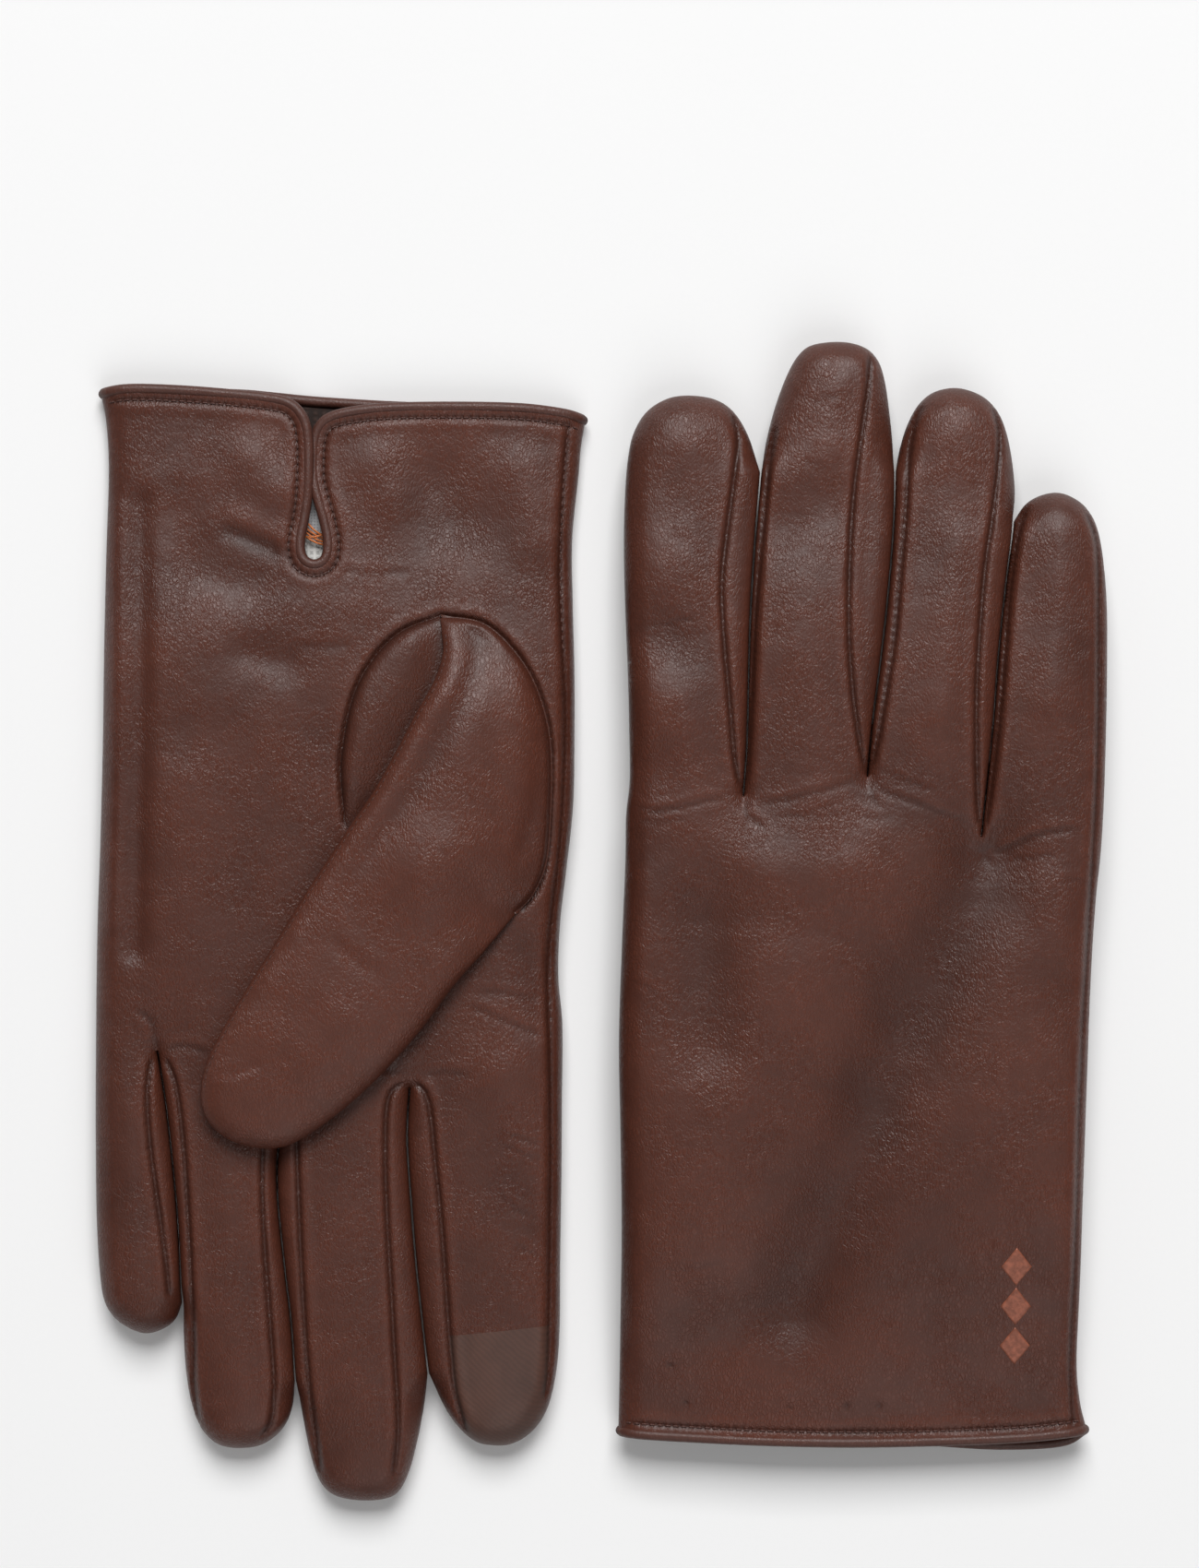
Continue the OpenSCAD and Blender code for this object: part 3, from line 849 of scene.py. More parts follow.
def build_leather(glove, materials):
    """Every leather piece of the hand and fingers, from a fine upper and a coarser under sheet."""
    verts, faces, names, painted_shadings = [], [], [], []
    offset = 0
    for top in (True, False):
        loop = np.vstack([glove.rim, glove.cuffs[top][1:-1]])
        edges = [glove.rim]
        cuts = [clip_line(c, edges, 0.3) for c in finger_cuts(glove, 0.9)]
        if top:
            seams = [line for pair in glove.seams for line in pair]
            seams += list(glove.edge_seams.values())
            if glove.side == "left":
                seams.append(spline(PATCH_LINE, LINE))
            seams.append(spline(clean_beside(glove, top), 0.44))
            if glove.side == "left":
                seams.append(OVAL)
            seams = [clip_line(line, edges) for line in seams]
            extra = fill_points(loop, edges, seams, GRID, RINGS)
            if glove.side == "right":
                turn = np.linspace(0, 2 * math.pi, 7)[:-1]
                ring = np.stack([np.cos(turn), np.sin(turn)], axis=1)
                extra = np.vstack([extra] + [[d] + ring * r for d in DIMPLES for r in (0, 0.5)])
            points, tris = triangulate(loop, extra, seams + cuts)
        else:
            extra = fill_points(loop, edges, [], COARSE, COARSE_RINGS)
            points, tris = triangulate(loop, extra, cuts)
        z = glove.surface(points, top)
        broad = glove.surface(points, top, "broad")
        # Painted shading: grooves of the fine relief painted darker and its ridges lighter, plus a
        # share of the broad relief, so hollows get painted shade and swells a painted highlight.
        painted_shadings.append(z - broad + HOLLOW_SHADING * (broad - glove.surface(points, top, "none")))
        verts.append(glove.world(points, z))
        faces.append((tris if top else tris[:, ::-1]) + offset)
        names.append(label_faces(glove, points[tris].mean(axis=1), top))
        offset += len(points)
    verts, faces, names = np.vstack(verts), np.vstack(faces), np.concatenate(names)
    normals = vertex_normals(verts, faces)
    pieces = {}
    for name in sorted(set(names)):
        slot = "touch_leather" if name == "touch_patch" else "leather"
        obj = shell(f"{glove.side}_{name}_skin", verts, normals, faces[names == name],
                    materials[slot], painted_shading=np.concatenate(painted_shadings))
        take_over(f"{glove.side}_{name}")
        pieces[name] = obj
    return pieces


def slot_u(glove, k, v):
    """Where slot k lies at v, or far outside the glove before the first and after the last."""
    if k < 0:
        return 0.0
    if k > 2:
        return 116.0
    line = glove.slots[k]
    return float(np.interp(v, line[:, 1], line[:, 0]))


def attach(obj, glove, finger):
    """Rides on the hand, or, for a finger's piece, only has its transform baked into its mesh."""
    hand = f"{glove.side}_hand"
    if finger < 0:
        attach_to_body(obj, hand)
        return
    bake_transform(obj)


def finger_in(name):
    """The finger that a piece's name starts with, or -1 for the hand's pieces."""
    if name == "touch_patch":
        return 0
    word, _, rest = name.partition("_")
    return FINGERS.index(word) if word in FINGERS and rest in ("back", "palm", "sides") else -1


# ---------------------------------------------------------------- linings

LINING_IN = 2.2          # from the leather's outline to the lining's
LINING_GAP = 1.3         # from the leather's outer face to the lining's


def inset(lines, offsets):
    """The lines moved in by their offsets and joined, without the points that come too close."""
    parts = []
    for line, offset in zip(lines, offsets):
        row = beside(line, offset)
        for other, least in zip(lines, offsets):
            row = row[measure_many(row, [other]) > 0.93 * least]
        parts.append(row)
    loop = np.vstack(parts)
    keep = [loop[0]]
    for point in loop[1:]:
        if math.hypot(*(point - keep[-1])) > 0.7:
            keep.append(point)
    return np.array(keep)


def build_lining(glove, materials):
    """The knitted inner glove: one sheet above, one below, joined at their outline."""
    verts, faces, names = [], [], []
    offset = 0
    for top in (True, False):
        loop = inset([glove.rim, glove.cuffs[top][1:-1]], [LINING_IN, 1.5])
        cuts = [c[inside(c, loop) & (measure_many(c, [loop]) > 0.6)]
                for c in finger_cuts(glove, 1.5)]
        grid = hex_grid(loop, KNIT_GRID)
        grid = grid[measure_many(grid, [loop]) > 1.2]
        points, tris = triangulate(loop, grid, cuts)
        edge = measure_many(points, [loop[measure_many(loop, [glove.cuffs[top]]) > 1.6]])
        thick = glove.thickness(points)
        middle = glove.low - glove.sag(points) + WAIST * thick
        gap = LINING_GAP if top else -LINING_GAP
        z = glove.surface(points, top, "broad") - gap
        z = middle + (z - middle) * round_off(edge / 3)
        verts.append(glove.world(points, z))
        faces.append((tris if top else tris[:, ::-1]) + offset)
        finger = finger_of(glove, points[tris].mean(axis=1))
        names.append(np.array(["hand"] + list(FINGERS), object)[finger + 1])
        offset += len(points)
    verts, faces, names = np.vstack(verts), np.vstack(faces), np.concatenate(names)
    normals = vertex_normals(verts, faces)
    for finger, word in enumerate(("hand",) + FINGERS, start=-1):
        node = f"{glove.side}_{word}_lining"
        obj = shell(f"{node}_knit", verts, normals, faces[names == word], materials["lining"],
                    0.5 * MM)
        take_over(node)
        attach(obj, glove, finger)


# ---------------------------------------------------------------- thumbs

SUNK = 0.9               # how far the thumb's sewn edges reach below the palm's face


def thumb_heights(p, detail):
    """Heights above the palm's face, away from the palm, of the thumb's outer and inner skins."""
    free = measure(p, FREE)[0]
    root = measure(p, ROOT)[0]
    t = 1.5 * round_off(root / 1.6) + (THUMB_T - 1.5) * smooth((root + 3) / 25) ** 0.8
    t = np.minimum(t, THUMB_T) * (1 - 0.12 * smooth((p[:, 1] - 20) / 30))
    outer = t * (0.45 + 0.5 * round_off(free / 5.5) + 0.05 * smooth(free / 12))
    inner = 0.45 * t * (1 - round_off(free / 3))
    if detail:
        band = smooth(free / 0.8) * (1 - smooth((p[:, 1] + 26) / 26)) * smooth(root / 3)
        ridge = measure(p, RIDGE)[0]
        outer += band * (0.5 * bump((ridge - 2.4) / 1.9) - 0.9 * bump((ridge - 7.8) / 3.0))
        soft = smooth(free / 3) * smooth(root / 4)
        outer += soft * 0.3 * noise_at(p, 26, 6.6)
        for swell in THUMB_SWELLS:
            outer += swell_height(p, *swell) * soft
        outer += soft * 0.12 * noise_at(p, 7, 1.2, (1, 2.2), 1.0)
        for crease in THUMB_CREASES:
            outer += crease_depth(p, *crease) * soft
        for patch in THUMB_WRINKLES:
            outer += wrinkle_patch(p, *patch) * soft
    outer += THUMB_LIFT - SUNK * (1 - smooth(root / 0.9))
    return outer, THUMB_LIFT * smooth(root / 2) + inner


THUMB_SWELLS = [
    ([(37, -12)], 10, 1.6), ([(17, -52), (16, -30)], 5, 0.7), ([(58, 12), (74, 34)], 9, 0.5),
]
THUMB_CREASES = [
    ([(13, -40), (15, -24), (20, -10)], 0.25, 1.6),
    ([(60, 2), (54, 8), (46, 12)], 0.25, 1.6),
    ([(74, 30), (80, 33), (85, 33)], 0.25, 0.9),
]
THUMB_WRINKLES = [
    ((50, 22), (12, 5), -1.0, 1.6, 0.07), ((70, 36), (10, 8), 0.4, 1.5, 0.06),
    ((24, -30), (12, 16), 0.7, 2.2, 0.05),
]


def palm_point(glove, p, height):
    """World points at a height above the palm's face, on the thumb's side of it."""
    return glove.world(p, glove.palm_rest(p) + (height if glove.side == "left" else -height))


def build_thumb(glove, materials):
    """The thumb's leather with the pocket that joins it to the palm, its lining and its seam."""
    side, palm_up = glove.side, glove.side == "left"
    step = GRID if palm_up else COARSE
    loop = np.vstack([FREE, ROOT[1:-1]])[::-1]
    edges = [FREE[::-1], ROOT[::-1]]
    points, tris = triangulate(loop, fill_points(loop, edges, [], step, RINGS), [])
    outer, inner = thumb_heights(points, palm_up)
    plain_outer, _ = thumb_heights(points, False)
    # Painted shading of the thumb: painted shade in its creases and a painted highlight on its
    # raised dome.
    dome_highlight = 0.28 * smooth(measure(points, ROOT)[0] / 9)
    painted_shading = [np.tile(0.35 * (outer - plain_outer) + dome_highlight, 2)]
    outward = tris if palm_up else tris[:, ::-1]
    verts = np.vstack([palm_point(glove, points, outer), palm_point(glove, points, inner)])
    faces = np.vstack([outward, outward[:, ::-1] + len(points)])

    pocket_loop = np.vstack([POCKET, RIDGE[::-1][:-1]])[::-1]
    extra = fill_points(pocket_loop, [RIDGE, POCKET[::-1]], [], step, RINGS)
    spots, pocket = triangulate(pocket_loop, extra, [])
    arc, across = measure(spots, POCKET)[0], measure(spots, RIDGE)[0]
    fade = smooth((-18 - spots[:, 1]) / 14)
    rise = 3.1 * round_off(arc / 4) * (0.3 + 0.7 * smooth(across / 8)) * fade
    rise += 0.05 - 0.6 * bump(arc / 0.6) * fade
    # Painted shade along the pocket's seam and beside the ridge.
    painted_shading.append(np.tile(-0.5 * bump(arc / 1.0) - 0.4 * bump(across / 1.5), 2))
    if palm_up:
        rise += 0.2 * noise_at(spots, 11, 2.5) * smooth(arc / 3) * fade
    base = len(verts)
    low = np.full(len(spots), -SUNK)
    verts = np.vstack([verts, palm_point(glove, spots, rise), palm_point(glove, spots, low)])
    pocket = pocket if palm_up else pocket[:, ::-1]
    faces = np.vstack([faces, pocket + base, pocket[:, ::-1] + base + len(spots)])
    normals = vertex_normals(verts, faces)
    thumb = shell(f"{side}_thumb_skin", verts, normals, faces, materials["leather"], 0.45 * MM,
                  np.concatenate(painted_shading))
    take_over(f"{side}_thumb")
    attach_thumb(thumb)

    loop = inset([FREE[::-1], ROOT[::-1]], [2.2, 8.5])
    grid = hex_grid(loop, KNIT_GRID)
    points, tris = triangulate(loop, grid[measure_many(grid, [loop]) > 1.2], [])
    outer, inner = thumb_heights(points, False)
    edge = round_off(measure(points, np.vstack([loop, loop[:1]]))[0] / 2.5)
    middle = 0.5 * (outer + inner)
    outward = tris if palm_up else tris[:, ::-1]
    verts = np.vstack([palm_point(glove, points, middle + (outer - 1.1 - middle) * edge),
                       palm_point(glove, points, middle + (inner + 1.1 - middle) * edge)])
    faces = np.vstack([outward, outward[:, ::-1] + len(points)])
    lining = shell(f"{side}_thumb_lining_knit", verts, vertex_normals(verts, faces), faces,
                   materials["lining"], 0.4 * MM)
    take_over(f"{side}_thumb_lining")
    attach_thumb(lining)

    row = beside(RIDGE, -0.9)[6:-2]
    run = run_along(row)
    spots = np.stack([np.interp(np.arange(0, run[-1], 1.6), run, row[:, k]) for k in (0, 1)],
                     axis=1)
    where = palm_point(glove, spots, thumb_heights(spots, palm_up)[0] + 0.02)
    ahead = unit(np.gradient(where, axis=0))
    ups = np.cross(np.cross(ahead, [0, 0, 1.0 if palm_up else -1.0]), ahead)
    verts, faces = stitches(where, ahead, ups, 1.0 * MM, 0.16 * MM)
    seam = mesh_object(f"{side}_thumb_seam_thread", verts, faces, materials["thread"])
    attach_thumb(seam)


def attach_thumb(obj):
    """Bakes the object's transform into its mesh."""
    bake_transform(obj)


# ---------------------------------------------------------------- binding, stitches and labels

BINDING_R = 1.2


def build_binding(glove, materials):
    """The rolled binding round the cuff and, on the left glove, round the vent."""
    over, under = glove.cuffs[True], glove.cuffs[False][::-1][1:-1]
    z_over = glove.surface(over, True, "broad") - 0.55
    z_under = np.maximum(glove.surface(under, False) + 0.5, BINDING_R + 0.03)
    z_over = np.maximum(z_over, BINDING_R + 0.03)
    path = glove.world(np.vstack([over, under]), np.concatenate([z_over, z_under]))
    for _ in range(2):
        path = (np.roll(path, 1, axis=0) + path * 2 + np.roll(path, -1, axis=0)) / 4
    verts, faces = tube(path, BINDING_R * MM, 14, closed=True)
    obj = mesh_object(f"{glove.side}_cuff_binding_roll", verts, faces,
                      materials["binding_leather"])
    take_over(f"{glove.side}_cuff_binding")
    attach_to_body(obj, f"{glove.side}_hand")


def stitches(spots, headings, ups, length, radius):
    """Vertices and faces of small rounded stitches at the given places, in metres."""
    sides, rings = 6, [(-0.5, 0.35), (-0.32, 0.95), (0.32, 0.95), (0.5, 0.35)]
    verts, faces = [], []
    for spot, ahead, up in zip(spots, headings, ups):
        side = np.cross(ahead, up)
        base = len(verts)
        for reach, girth in rings:
            for k in range(sides):
                a = 2 * math.pi * k / sides
                verts.append(spot + ahead * reach * length
                             + (side * math.cos(a) + up * math.sin(a)) * girth * radius)
        faces += ring_faces(len(rings), sides, base=base)
    return verts, faces


def clean_beside(glove, top):
    """Where the topstitching runs: inside the cuff's binding and round the vent."""
    line = beside(glove.cuffs[top], STITCH_IN)
    line = line[measure_many(line, [glove.cuffs[top]]) > 0.95 * STITCH_IN]
    return line[measure_many(line, [glove.rim]) > 1.0]


def stitch_row(glove, line, height, pitch, up=1.0):
    """Places and headings for a row of stitches along a plan line; height(p) is in mm."""
    run = run_along(line)
    s = np.arange(pitch / 2, run[-1], pitch)
    here, a, b = (np.stack([np.interp(s + d, run, line[:, k]) for k in (0, 1)], axis=1)
                  for d in (0, -0.3, 0.3))
    spots = glove.world(here, height(here))
    ahead = unit(glove.world(b, height(b)) - glove.world(a, height(a)))
    ups = np.tile([0, 0, up], (len(s), 1)).astype(float)
    ups -= ahead * (ahead * ups).sum(axis=1)[:, None]
    return spots, ahead, unit(ups)


def build_stitching(glove, materials):
    """Topstitching inside the cuff's binding on both faces and down the index finger's side."""
    rows = []
    for top in (True, False):
        line = clean_beside(glove, top)
        sink = 0.12 if top else 0.3
        rows.append(stitch_row(glove, line, lambda p, t=top, s=sink: glove.surface(p, t) + s,
                               STITCH_PITCH, 1 if top else -1))
    if glove.side == "left":
        seam = glove.edge_seams["index"]
        rows.append(stitch_row(glove, seam[seam[:, 1] < -60],
                               lambda p: glove.surface(p, True) + 0.1, 2.0))
    spots, ahead, ups = (np.vstack(part) for part in zip(*rows))
    verts, faces = stitches(spots, ahead, ups, 1.25 * MM, 0.22 * MM)
    obj = mesh_object(f"{glove.side}_cuff_stitching_thread", verts, faces, materials["thread"])
    take_over(f"{glove.side}_cuff_stitching")
    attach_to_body(obj, f"{glove.side}_hand")


def sheet(name, glove, low, high, z, thick, material, ripple=0.25):
    """A thin, slightly wavy oblong label lying level inside the glove."""
    us, vs = np.arange(low[0], high[0] + 0.01, 1.0), np.arange(low[1], high[1] + 0.01, 1.0)
    grid = np.array([(u, v) for v in vs for u in us])
    rows, across = len(vs), len(us)
    heights = z + ripple * noise_at(grid, 9, 4.4)
    verts = glove.world(grid, heights)
    faces = []
    for r in range(rows - 1):
        for c in range(across - 1):
            i = r * across + c
            faces += [(i, i + 1, i + across + 1), (i, i + across + 1, i + across)]
    faces = np.array(faces)
    return shell(name, verts, vertex_normals(verts, faces), faces, material, thick * MM)


def build_labels(glove, materials):
    """The labels and the loose label threads that show through the left glove's vent."""
    for node, low, high, z, slot in [
            ("left_size_label", (55, -103), (73, -87), 6.1, "satin_label"),
            ("left_care_label", (57, -88), (71, -76), 5.7, "care_label")]:
        obj = sheet(f"{node}_cloth", glove, low, high, z, 0.25, materials[slot])
        take_over(node)
        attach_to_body(obj, "left_hand")
    verts, faces = [], []
    for k, (a, b) in enumerate([((66.8, -89.2), (60.6, -85.4)), ((66.9, -88.2), (60.4, -84.6)),
                                ((66.6, -87), (60.8, -84.2)), ((66.9, -86.2), (60.2, -87.2)),
                                ((65.8, -90), (61.6, -86.4))]):
        path = spline([a, (0.5 * (a[0] + b[0]), 0.5 * (a[1] + b[1]) + 0.5), b], 0.5)
        lift = 6.5 + 0.12 * k + 0.5 * np.sin(np.linspace(0, math.pi, len(path)))
        cord, cord_faces = tube(glove.world(path, lift), 0.24 * MM, 7)
        faces += [tuple(len(verts) + i for i in f) for f in cord_faces]
        verts += list(cord)
    obj = mesh_object("left_label_stitching_cords", verts, faces, materials["label_thread"])
    take_over("left_label_stitching")
    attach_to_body(obj, "left_hand")


def build_emblem(glove, materials):
    """Three plain lozenges pressed into the back of the right glove near the cuff."""
    verts, faces = [], []
    steps, half_u, half_v = 12, 3.4, 4.3
    for k in (-1, 0, 1):
        centre = np.array([92, -84.5 + 9 * k])
        grid = [(i / steps, j / steps) for i in range(steps + 1) for j in range(steps + 1)]
        plan = np.array([centre + ((i - j) * half_u, (i + j - 1) * half_v) for i, j in grid])
        outer = glove.world(plan, glove.surface(plan, True) + 0.05)
        inner = glove.world(plan, glove.surface(plan, True) - 0.25)
        base, count = len(verts), len(plan)
        verts += list(outer) + list(inner)
        quads = [(r * (steps + 1) + c, (r + 1) * (steps + 1) + c,
                  (r + 1) * (steps + 1) + c + 1, r * (steps + 1) + c + 1)
                 for r in range(steps) for c in range(steps)]
        edges = {(q[i], q[(i + 1) % 4]) for q in quads for i in range(4)}
        faces += [tuple(base + i for i in q) for q in quads]
        faces += [tuple(base + count + i for i in q[::-1]) for q in quads]
        faces += [(base + b, base + a, base + a + count, base + b + count)
                  for a, b in edges if (b, a) not in edges]
    obj = mesh_object("right_emblem_foil", verts, faces, materials["emblem_foil"])
    take_over("right_emblem")
    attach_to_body(obj, "right_hand")


# ---------------------------------------------------------------- materials

FLOOR = 0.86             # how white the floor is
SHINE = 0.4              # strength of the leather's reflections


class Shader:
    """A node material: add() makes a node, and sockets are given as nodes or as numbers."""

    def __init__(self, name):
        self.mat = bpy.data.materials.new(name)
        self.mat.use_nodes = True
        self.tree = self.mat.node_tree
        self.bsdf = self.tree.nodes["Principled BSDF"]
        self.place = self.add("ShaderNodeTexCoord").outputs["Object"]

    def add(self, kind, settings=None, **sockets):
        node = self.tree.nodes.new(kind)
        for key, value in (settings or {}).items():
            setattr(node, key, value)
        for key, value in sockets.items():
            self.feed(node.inputs[key.replace("_", " ") if not key[-1].isdigit()
                                  else int(key[1:])], value)
        return node

    def feed(self, socket, value):
        if isinstance(value, bpy.types.NodeSocket):
            self.tree.links.new(value, socket)
        else:
            socket.default_value = value

    def math(self, how, a, b=0.0):
        return self.add("ShaderNodeMath", {"operation": how}, i0=a, i1=b).outputs[0]

    def noise(self, size, detail=2.0, rough=0.5, place=None):
        """Noise with features about size mm wide, about 0.5 on average."""
        return self.add("ShaderNodeTexNoise", Vector=self.place if place is None else place,
                        Scale=1000 / size, Detail=detail, Roughness=rough).outputs["Fac"]

    def span(self, value, low, high, new_low, new_high):
        node = self.add("ShaderNodeMapRange", {"interpolation_type": "SMOOTHSTEP"}, Value=value)
        for key, number in zip(("From Min", "From Max", "To Min", "To Max"),
                               (low, high, new_low, new_high)):
            node.inputs[key].default_value = number
        return node.outputs[0]

    def tint(self, color, factor):
        """The colour multiplied by a number that varies over the surface."""
        node = self.add("ShaderNodeVectorMath", {"operation": "SCALE"})
        node.inputs[0].default_value = color
        self.feed(node.inputs["Scale"], factor)
        return node.outputs[0]

    def bump(self, height, strength, depth_mm, under=None):
        node = self.add("ShaderNodeBump", Height=height, Strength=strength,
                        Distance=depth_mm * MM)
        if under is not None:
            self.feed(node.inputs["Normal"], under)
        return node.outputs[0]

    def finish(self, color, roughness, normal, **fixed):
        self.feed(self.bsdf.inputs["Base Color"], color)
        self.feed(self.bsdf.inputs["Roughness"], roughness)
        self.feed(self.bsdf.inputs["Normal"], normal)
        for key, value in fixed.items():
            self.bsdf.inputs[key.replace("_", " ")].default_value = value
        return self.mat


def leather(name, color, roughness, grain, depth):
    """Fine-grained dyed leather, with painted shade in its folds, seams and hollows and a painted
    highlight on its ridges and swells.
    """
    s = Shader(name)
    drift = s.add("ShaderNodeTexNoise", Vector=s.place, Scale=450.0, Detail=1.0)
    bent = s.add("ShaderNodeMix", {"data_type": "VECTOR"})
    bent.inputs["Factor"].default_value = 0.0012
    s.feed(bent.inputs[4], s.place)
    s.feed(bent.inputs[5], drift.outputs["Color"])
    where = s.add("ShaderNodeMapping", Vector=bent.outputs[1])
    where.inputs["Rotation"].default_value = (0, 0, 0.3)
    where.inputs["Scale"].default_value = (1.15, 0.55, 1.0)
    cells = s.add("ShaderNodeTexVoronoi", {"feature": "DISTANCE_TO_EDGE"},
                  Vector=where.outputs[0], Scale=1000 / grain)
    fine = s.add("ShaderNodeTexVoronoi", {"feature": "DISTANCE_TO_EDGE"},
                 Vector=where.outputs[0], Scale=2300 / grain)
    pebble = s.span(cells.outputs["Distance"], 0.0, 0.28, 0.0, 1.0)
    pores = s.span(fine.outputs["Distance"], 0.0, 0.3, 0.0, 1.0)
    patchy = s.span(s.noise(9, 2.0), 0.3, 0.7, 0.35, 1.0)
    grainy = s.math("MULTIPLY", s.math("ADD", s.math("MULTIPLY", pebble, 0.75),
                                       s.math("MULTIPLY", pores, 0.25)), patchy)
    soft = s.bump(s.noise(3.2, 3.0, 0.55), 0.5, 0.25)
    normal = s.bump(grainy, 0.8, depth, soft)
    # Painted shade and painted highlight, read from the painted shading attribute.
    painted_shading = s.add("ShaderNodeAttribute", {"attribute_name": "painted_shading"}).outputs["Fac"]
    shade = s.span(painted_shading, -0.5, 0.4, 0.6, 1.12)
    cloud = s.span(s.noise(38, 2.0), 0.25, 0.75, 0.96, 1.04)
    mottle = s.span(s.noise(4.5, 3.0, 0.6), 0.25, 0.75, 0.94, 1.06)
    dark = s.span(grainy, 0.0, 0.6, 0.84, 1.03)
    factor = s.math("MULTIPLY", s.math("MULTIPLY", shade, cloud),
                    s.math("MULTIPLY", mottle, dark))
    gloss = s.math("ADD", s.math("MULTIPLY", s.noise(14, 3.0), 0.10),
                   s.span(grainy, 0.0, 0.7, roughness + 0.02, roughness - 0.1))
    return s.finish(s.tint(color, factor), gloss, normal, Specular_IOR_Level=SHINE)


def touch_leather():
    """The conductive patch: the same leather under a thin greyish coat with fine scratches."""
    s = Shader("touch_leather")
    lines = s.add("ShaderNodeTexWave", {"wave_type": "BANDS", "bands_direction": "DIAGONAL"},
                  Vector=s.place, Scale=420.0, Distortion=3.0, Detail=2.0).outputs["Fac"]
    grain = s.noise(0.7, 3.0, 0.6)
    # Painted shade in the patch's seams and creases, from the painted shading attribute.
    painted_shading = s.add("ShaderNodeAttribute", {"attribute_name": "painted_shading"}).outputs["Fac"]
    factor = s.math("MULTIPLY", s.span(painted_shading, -0.5, 0.3, 0.5, 1.05),
                    s.math("MULTIPLY", s.span(lines, 0.1, 0.9, 0.92, 1.06),
                           s.span(s.noise(5, 3.0), 0.3, 0.7, 0.93, 1.07)))
    normal = s.bump(grain, 0.5, 0.05, s.bump(lines, 0.25, 0.04))
    gloss = s.span(grain, 0.3, 0.7, 0.46, 0.58)
    return s.finish(s.tint((0.078, 0.032, 0.021), factor), gloss, normal)


def knitted(name, color):
    """The lining: columns of knitted loops."""
    s = Shader(name)
    ribs = s.add("ShaderNodeTexWave", {"wave_type": "BANDS", "bands_direction": "X"},
                 Vector=s.place, Scale=160.0, Distortion=0.6).outputs["Fac"]
    loops = s.add("ShaderNodeTexWave", {"wave_type": "BANDS", "bands_direction": "Y"},
                  Vector=s.place, Scale=230.0, Distortion=1.5).outputs["Fac"]
    height = s.math("MULTIPLY", ribs, s.math("ADD", s.math("MULTIPLY", loops, 0.5), 0.5))
    fuzz = s.noise(0.5, 3.0, 0.7)
    factor = s.math("MULTIPLY", s.span(height, 0.0, 1.0, 0.6, 1.15),
                    s.span(fuzz, 0.2, 0.8, 0.8, 1.2))
    normal = s.bump(fuzz, 0.5, 0.1, s.bump(height, 0.8, 0.3))
    return s.finish(s.tint(color, factor), s.span(fuzz, 0.2, 0.8, 0.8, 0.95), normal,
                    Sheen_Weight=0.08, Sheen_Roughness=0.5)


def twisted(name, color, roughness=0.55):
    """Sewing thread with its twist."""
    s = Shader(name)
    twist = s.add("ShaderNodeTexWave", {"wave_type": "BANDS", "bands_direction": "DIAGONAL"},
                  Vector=s.place, Scale=900.0, Distortion=0.5).outputs["Fac"]
    factor = s.math("MULTIPLY", s.span(twist, 0.0, 1.0, 0.75, 1.12),
                    s.span(s.noise(2.0), 0.3, 0.7, 0.9, 1.1))
    return s.finish(s.tint(color, factor), s.span(twist, 0, 1, roughness + 0.1, roughness - 0.05),
                    s.bump(twist, 0.6, 0.06))


def woven(name, color, pitch, roughness, depth):
    """A flat woven label: warp and weft crossing every pitch mm."""
    s = Shader(name)
    warp, weft = (s.add("ShaderNodeTexWave", {"wave_type": "BANDS", "bands_direction": axis},
                        Vector=s.place, Scale=157.0 / pitch, Distortion=0.3).outputs["Fac"]
                  for axis in ("X", "Y"))
    cloth = s.math("MAXIMUM", warp, s.math("MULTIPLY", weft, 0.8))
    factor = s.math("MULTIPLY", s.span(cloth, 0.1, 1.0, 0.65, 1.08),
                    s.span(s.noise(3.0), 0.3, 0.7, 0.93, 1.07))
    return s.finish(s.tint(color, factor), s.span(cloth, 0.0, 1.0, roughness + 0.15, roughness),
                    s.bump(cloth, 0.7, depth))


def foil(name, color):
    """Matt copper-brown foil pressed into the leather, worn thin in places."""
    s = Shader(name)
    grain = s.noise(0.8, 3.0, 0.6)
    worn = s.span(s.noise(1.6, 3.0), 0.35, 0.75, 0.8, 1.15)
    factor = s.math("MULTIPLY", worn, s.span(grain, 0.2, 0.8, 0.85, 1.1))
    return s.finish(s.tint(color, factor), s.span(grain, 0.2, 0.8, 0.55, 0.42),
                    s.bump(grain, 0.6, 0.08), Metallic=0.15)


def floor_paper():
    """The photographer's white floor."""
    s = Shader("floor_paper")
    factor = s.span(s.noise(1.2, 3.0), 0.2, 0.8, 0.997, 1.003)
    return s.finish(s.tint((FLOOR, FLOOR, FLOOR), factor), 0.95,
                    s.bump(s.noise(0.8), 0.05, 0.02), Specular_IOR_Level=0.1)


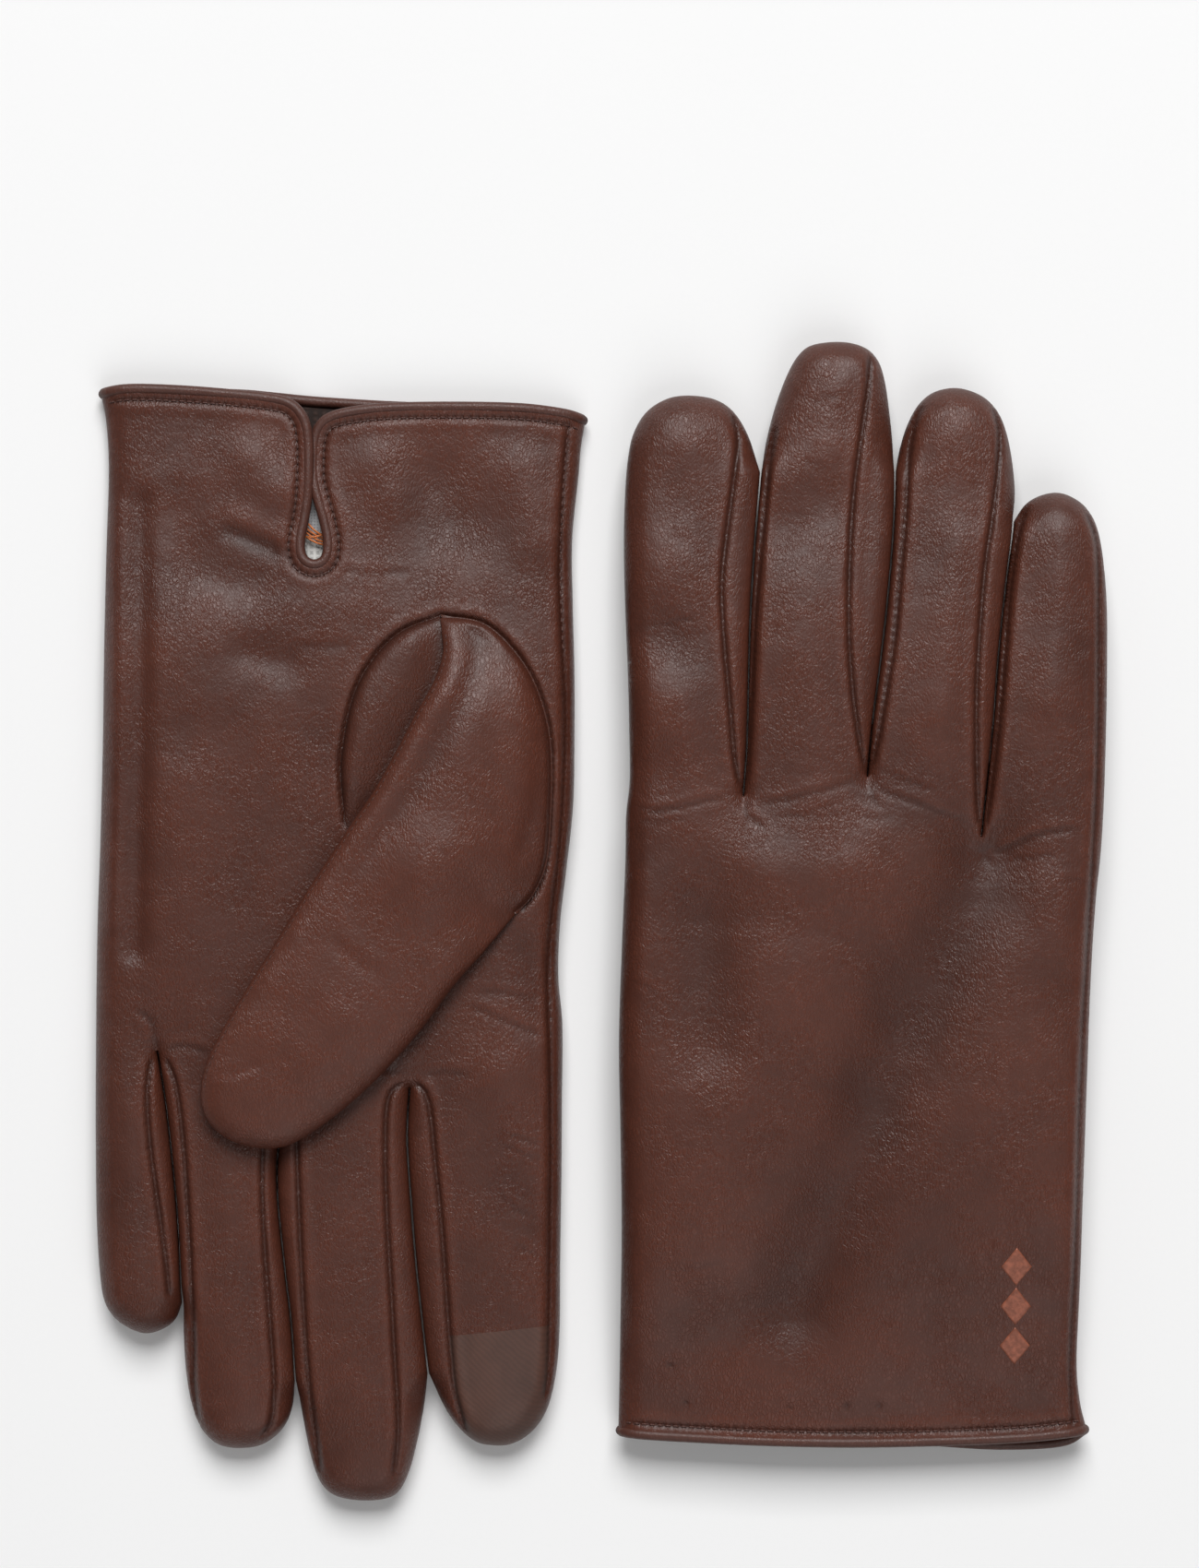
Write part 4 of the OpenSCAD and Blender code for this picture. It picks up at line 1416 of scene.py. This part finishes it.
LEATHER_COLOR = (0.083, 0.0224, 0.0120)
MATERIALS = {
    "leather": leather("leather", LEATHER_COLOR, 0.40, 0.75, 0.11),
    "binding_leather": leather("binding_leather", (0.088, 0.030, 0.020), 0.44, 0.7, 0.06),
    "touch_leather": touch_leather(),
    "lining": knitted("lining", (0.030, 0.014, 0.010)),
    "thread": twisted("thread", (0.075, 0.026, 0.018)),
    "label_thread": twisted("label_thread", (0.55, 0.15, 0.03), 0.5),
    "satin_label": woven("satin_label", (0.42, 0.42, 0.43), 0.35, 0.35, 0.05),
    "care_label": woven("care_label", (0.66, 0.65, 0.62), 0.7, 0.65, 0.12),
    "emblem_foil": foil("emblem_foil", (0.26, 0.078, 0.042)),
}


# ---------------------------------------------------------------- floor, light and camera

def build_stage():
    """The floor, the two soft lamps (place and size in metres, power in watts), the camera."""
    bpy.context.scene.view_settings.view_transform = "Standard"
    bpy.ops.mesh.primitive_plane_add(size=4, location=(0, 0, 0))
    floor = bpy.context.object
    floor.name = "floor"
    floor.data.materials.append(floor_paper())
    world = bpy.data.worlds.new("studio")
    world.use_nodes = True
    world.node_tree.nodes["Background"].inputs["Color"].default_value = (1, 1, 1, 1)
    world.node_tree.nodes["Background"].inputs["Strength"].default_value = 0.155
    bpy.context.scene.world = world
    for name, place, size, power in [("key", (0.1, 2.57, 3.06), 2.2, 166),
                                     ("fill", (0.8, -2.4, 3.0), 3.2, 44)]:
        data = bpy.data.lights.new(name, "AREA")
        data.size = size
        data.energy = power
        lamp = bpy.data.objects.new(name, data)
        lamp.location = place
        lamp.rotation_euler = (-Vector(place)).to_track_quat("-Z", "Y").to_euler()
        bpy.context.scene.collection.objects.link(lamp)
    data = bpy.data.cameras.new("camera")
    data.lens = 100
    data.sensor_width = 36
    camera = bpy.data.objects.new("camera", data)
    camera.location = (0, 0.031, 0.98)
    bpy.context.scene.collection.objects.link(camera)
    bpy.context.scene.camera = camera


build_stage()
gloves = {side: Glove(side) for side in ("left", "right")}
for glove in gloves.values():
    for name, obj in build_leather(glove, MATERIALS).items():
        attach(obj, glove, finger_in(name))
    build_lining(glove, MATERIALS)
    build_thumb(glove, MATERIALS)
    build_binding(glove, MATERIALS)
    build_stitching(glove, MATERIALS)
build_labels(gloves["left"], MATERIALS)
build_emblem(gloves["right"], MATERIALS)
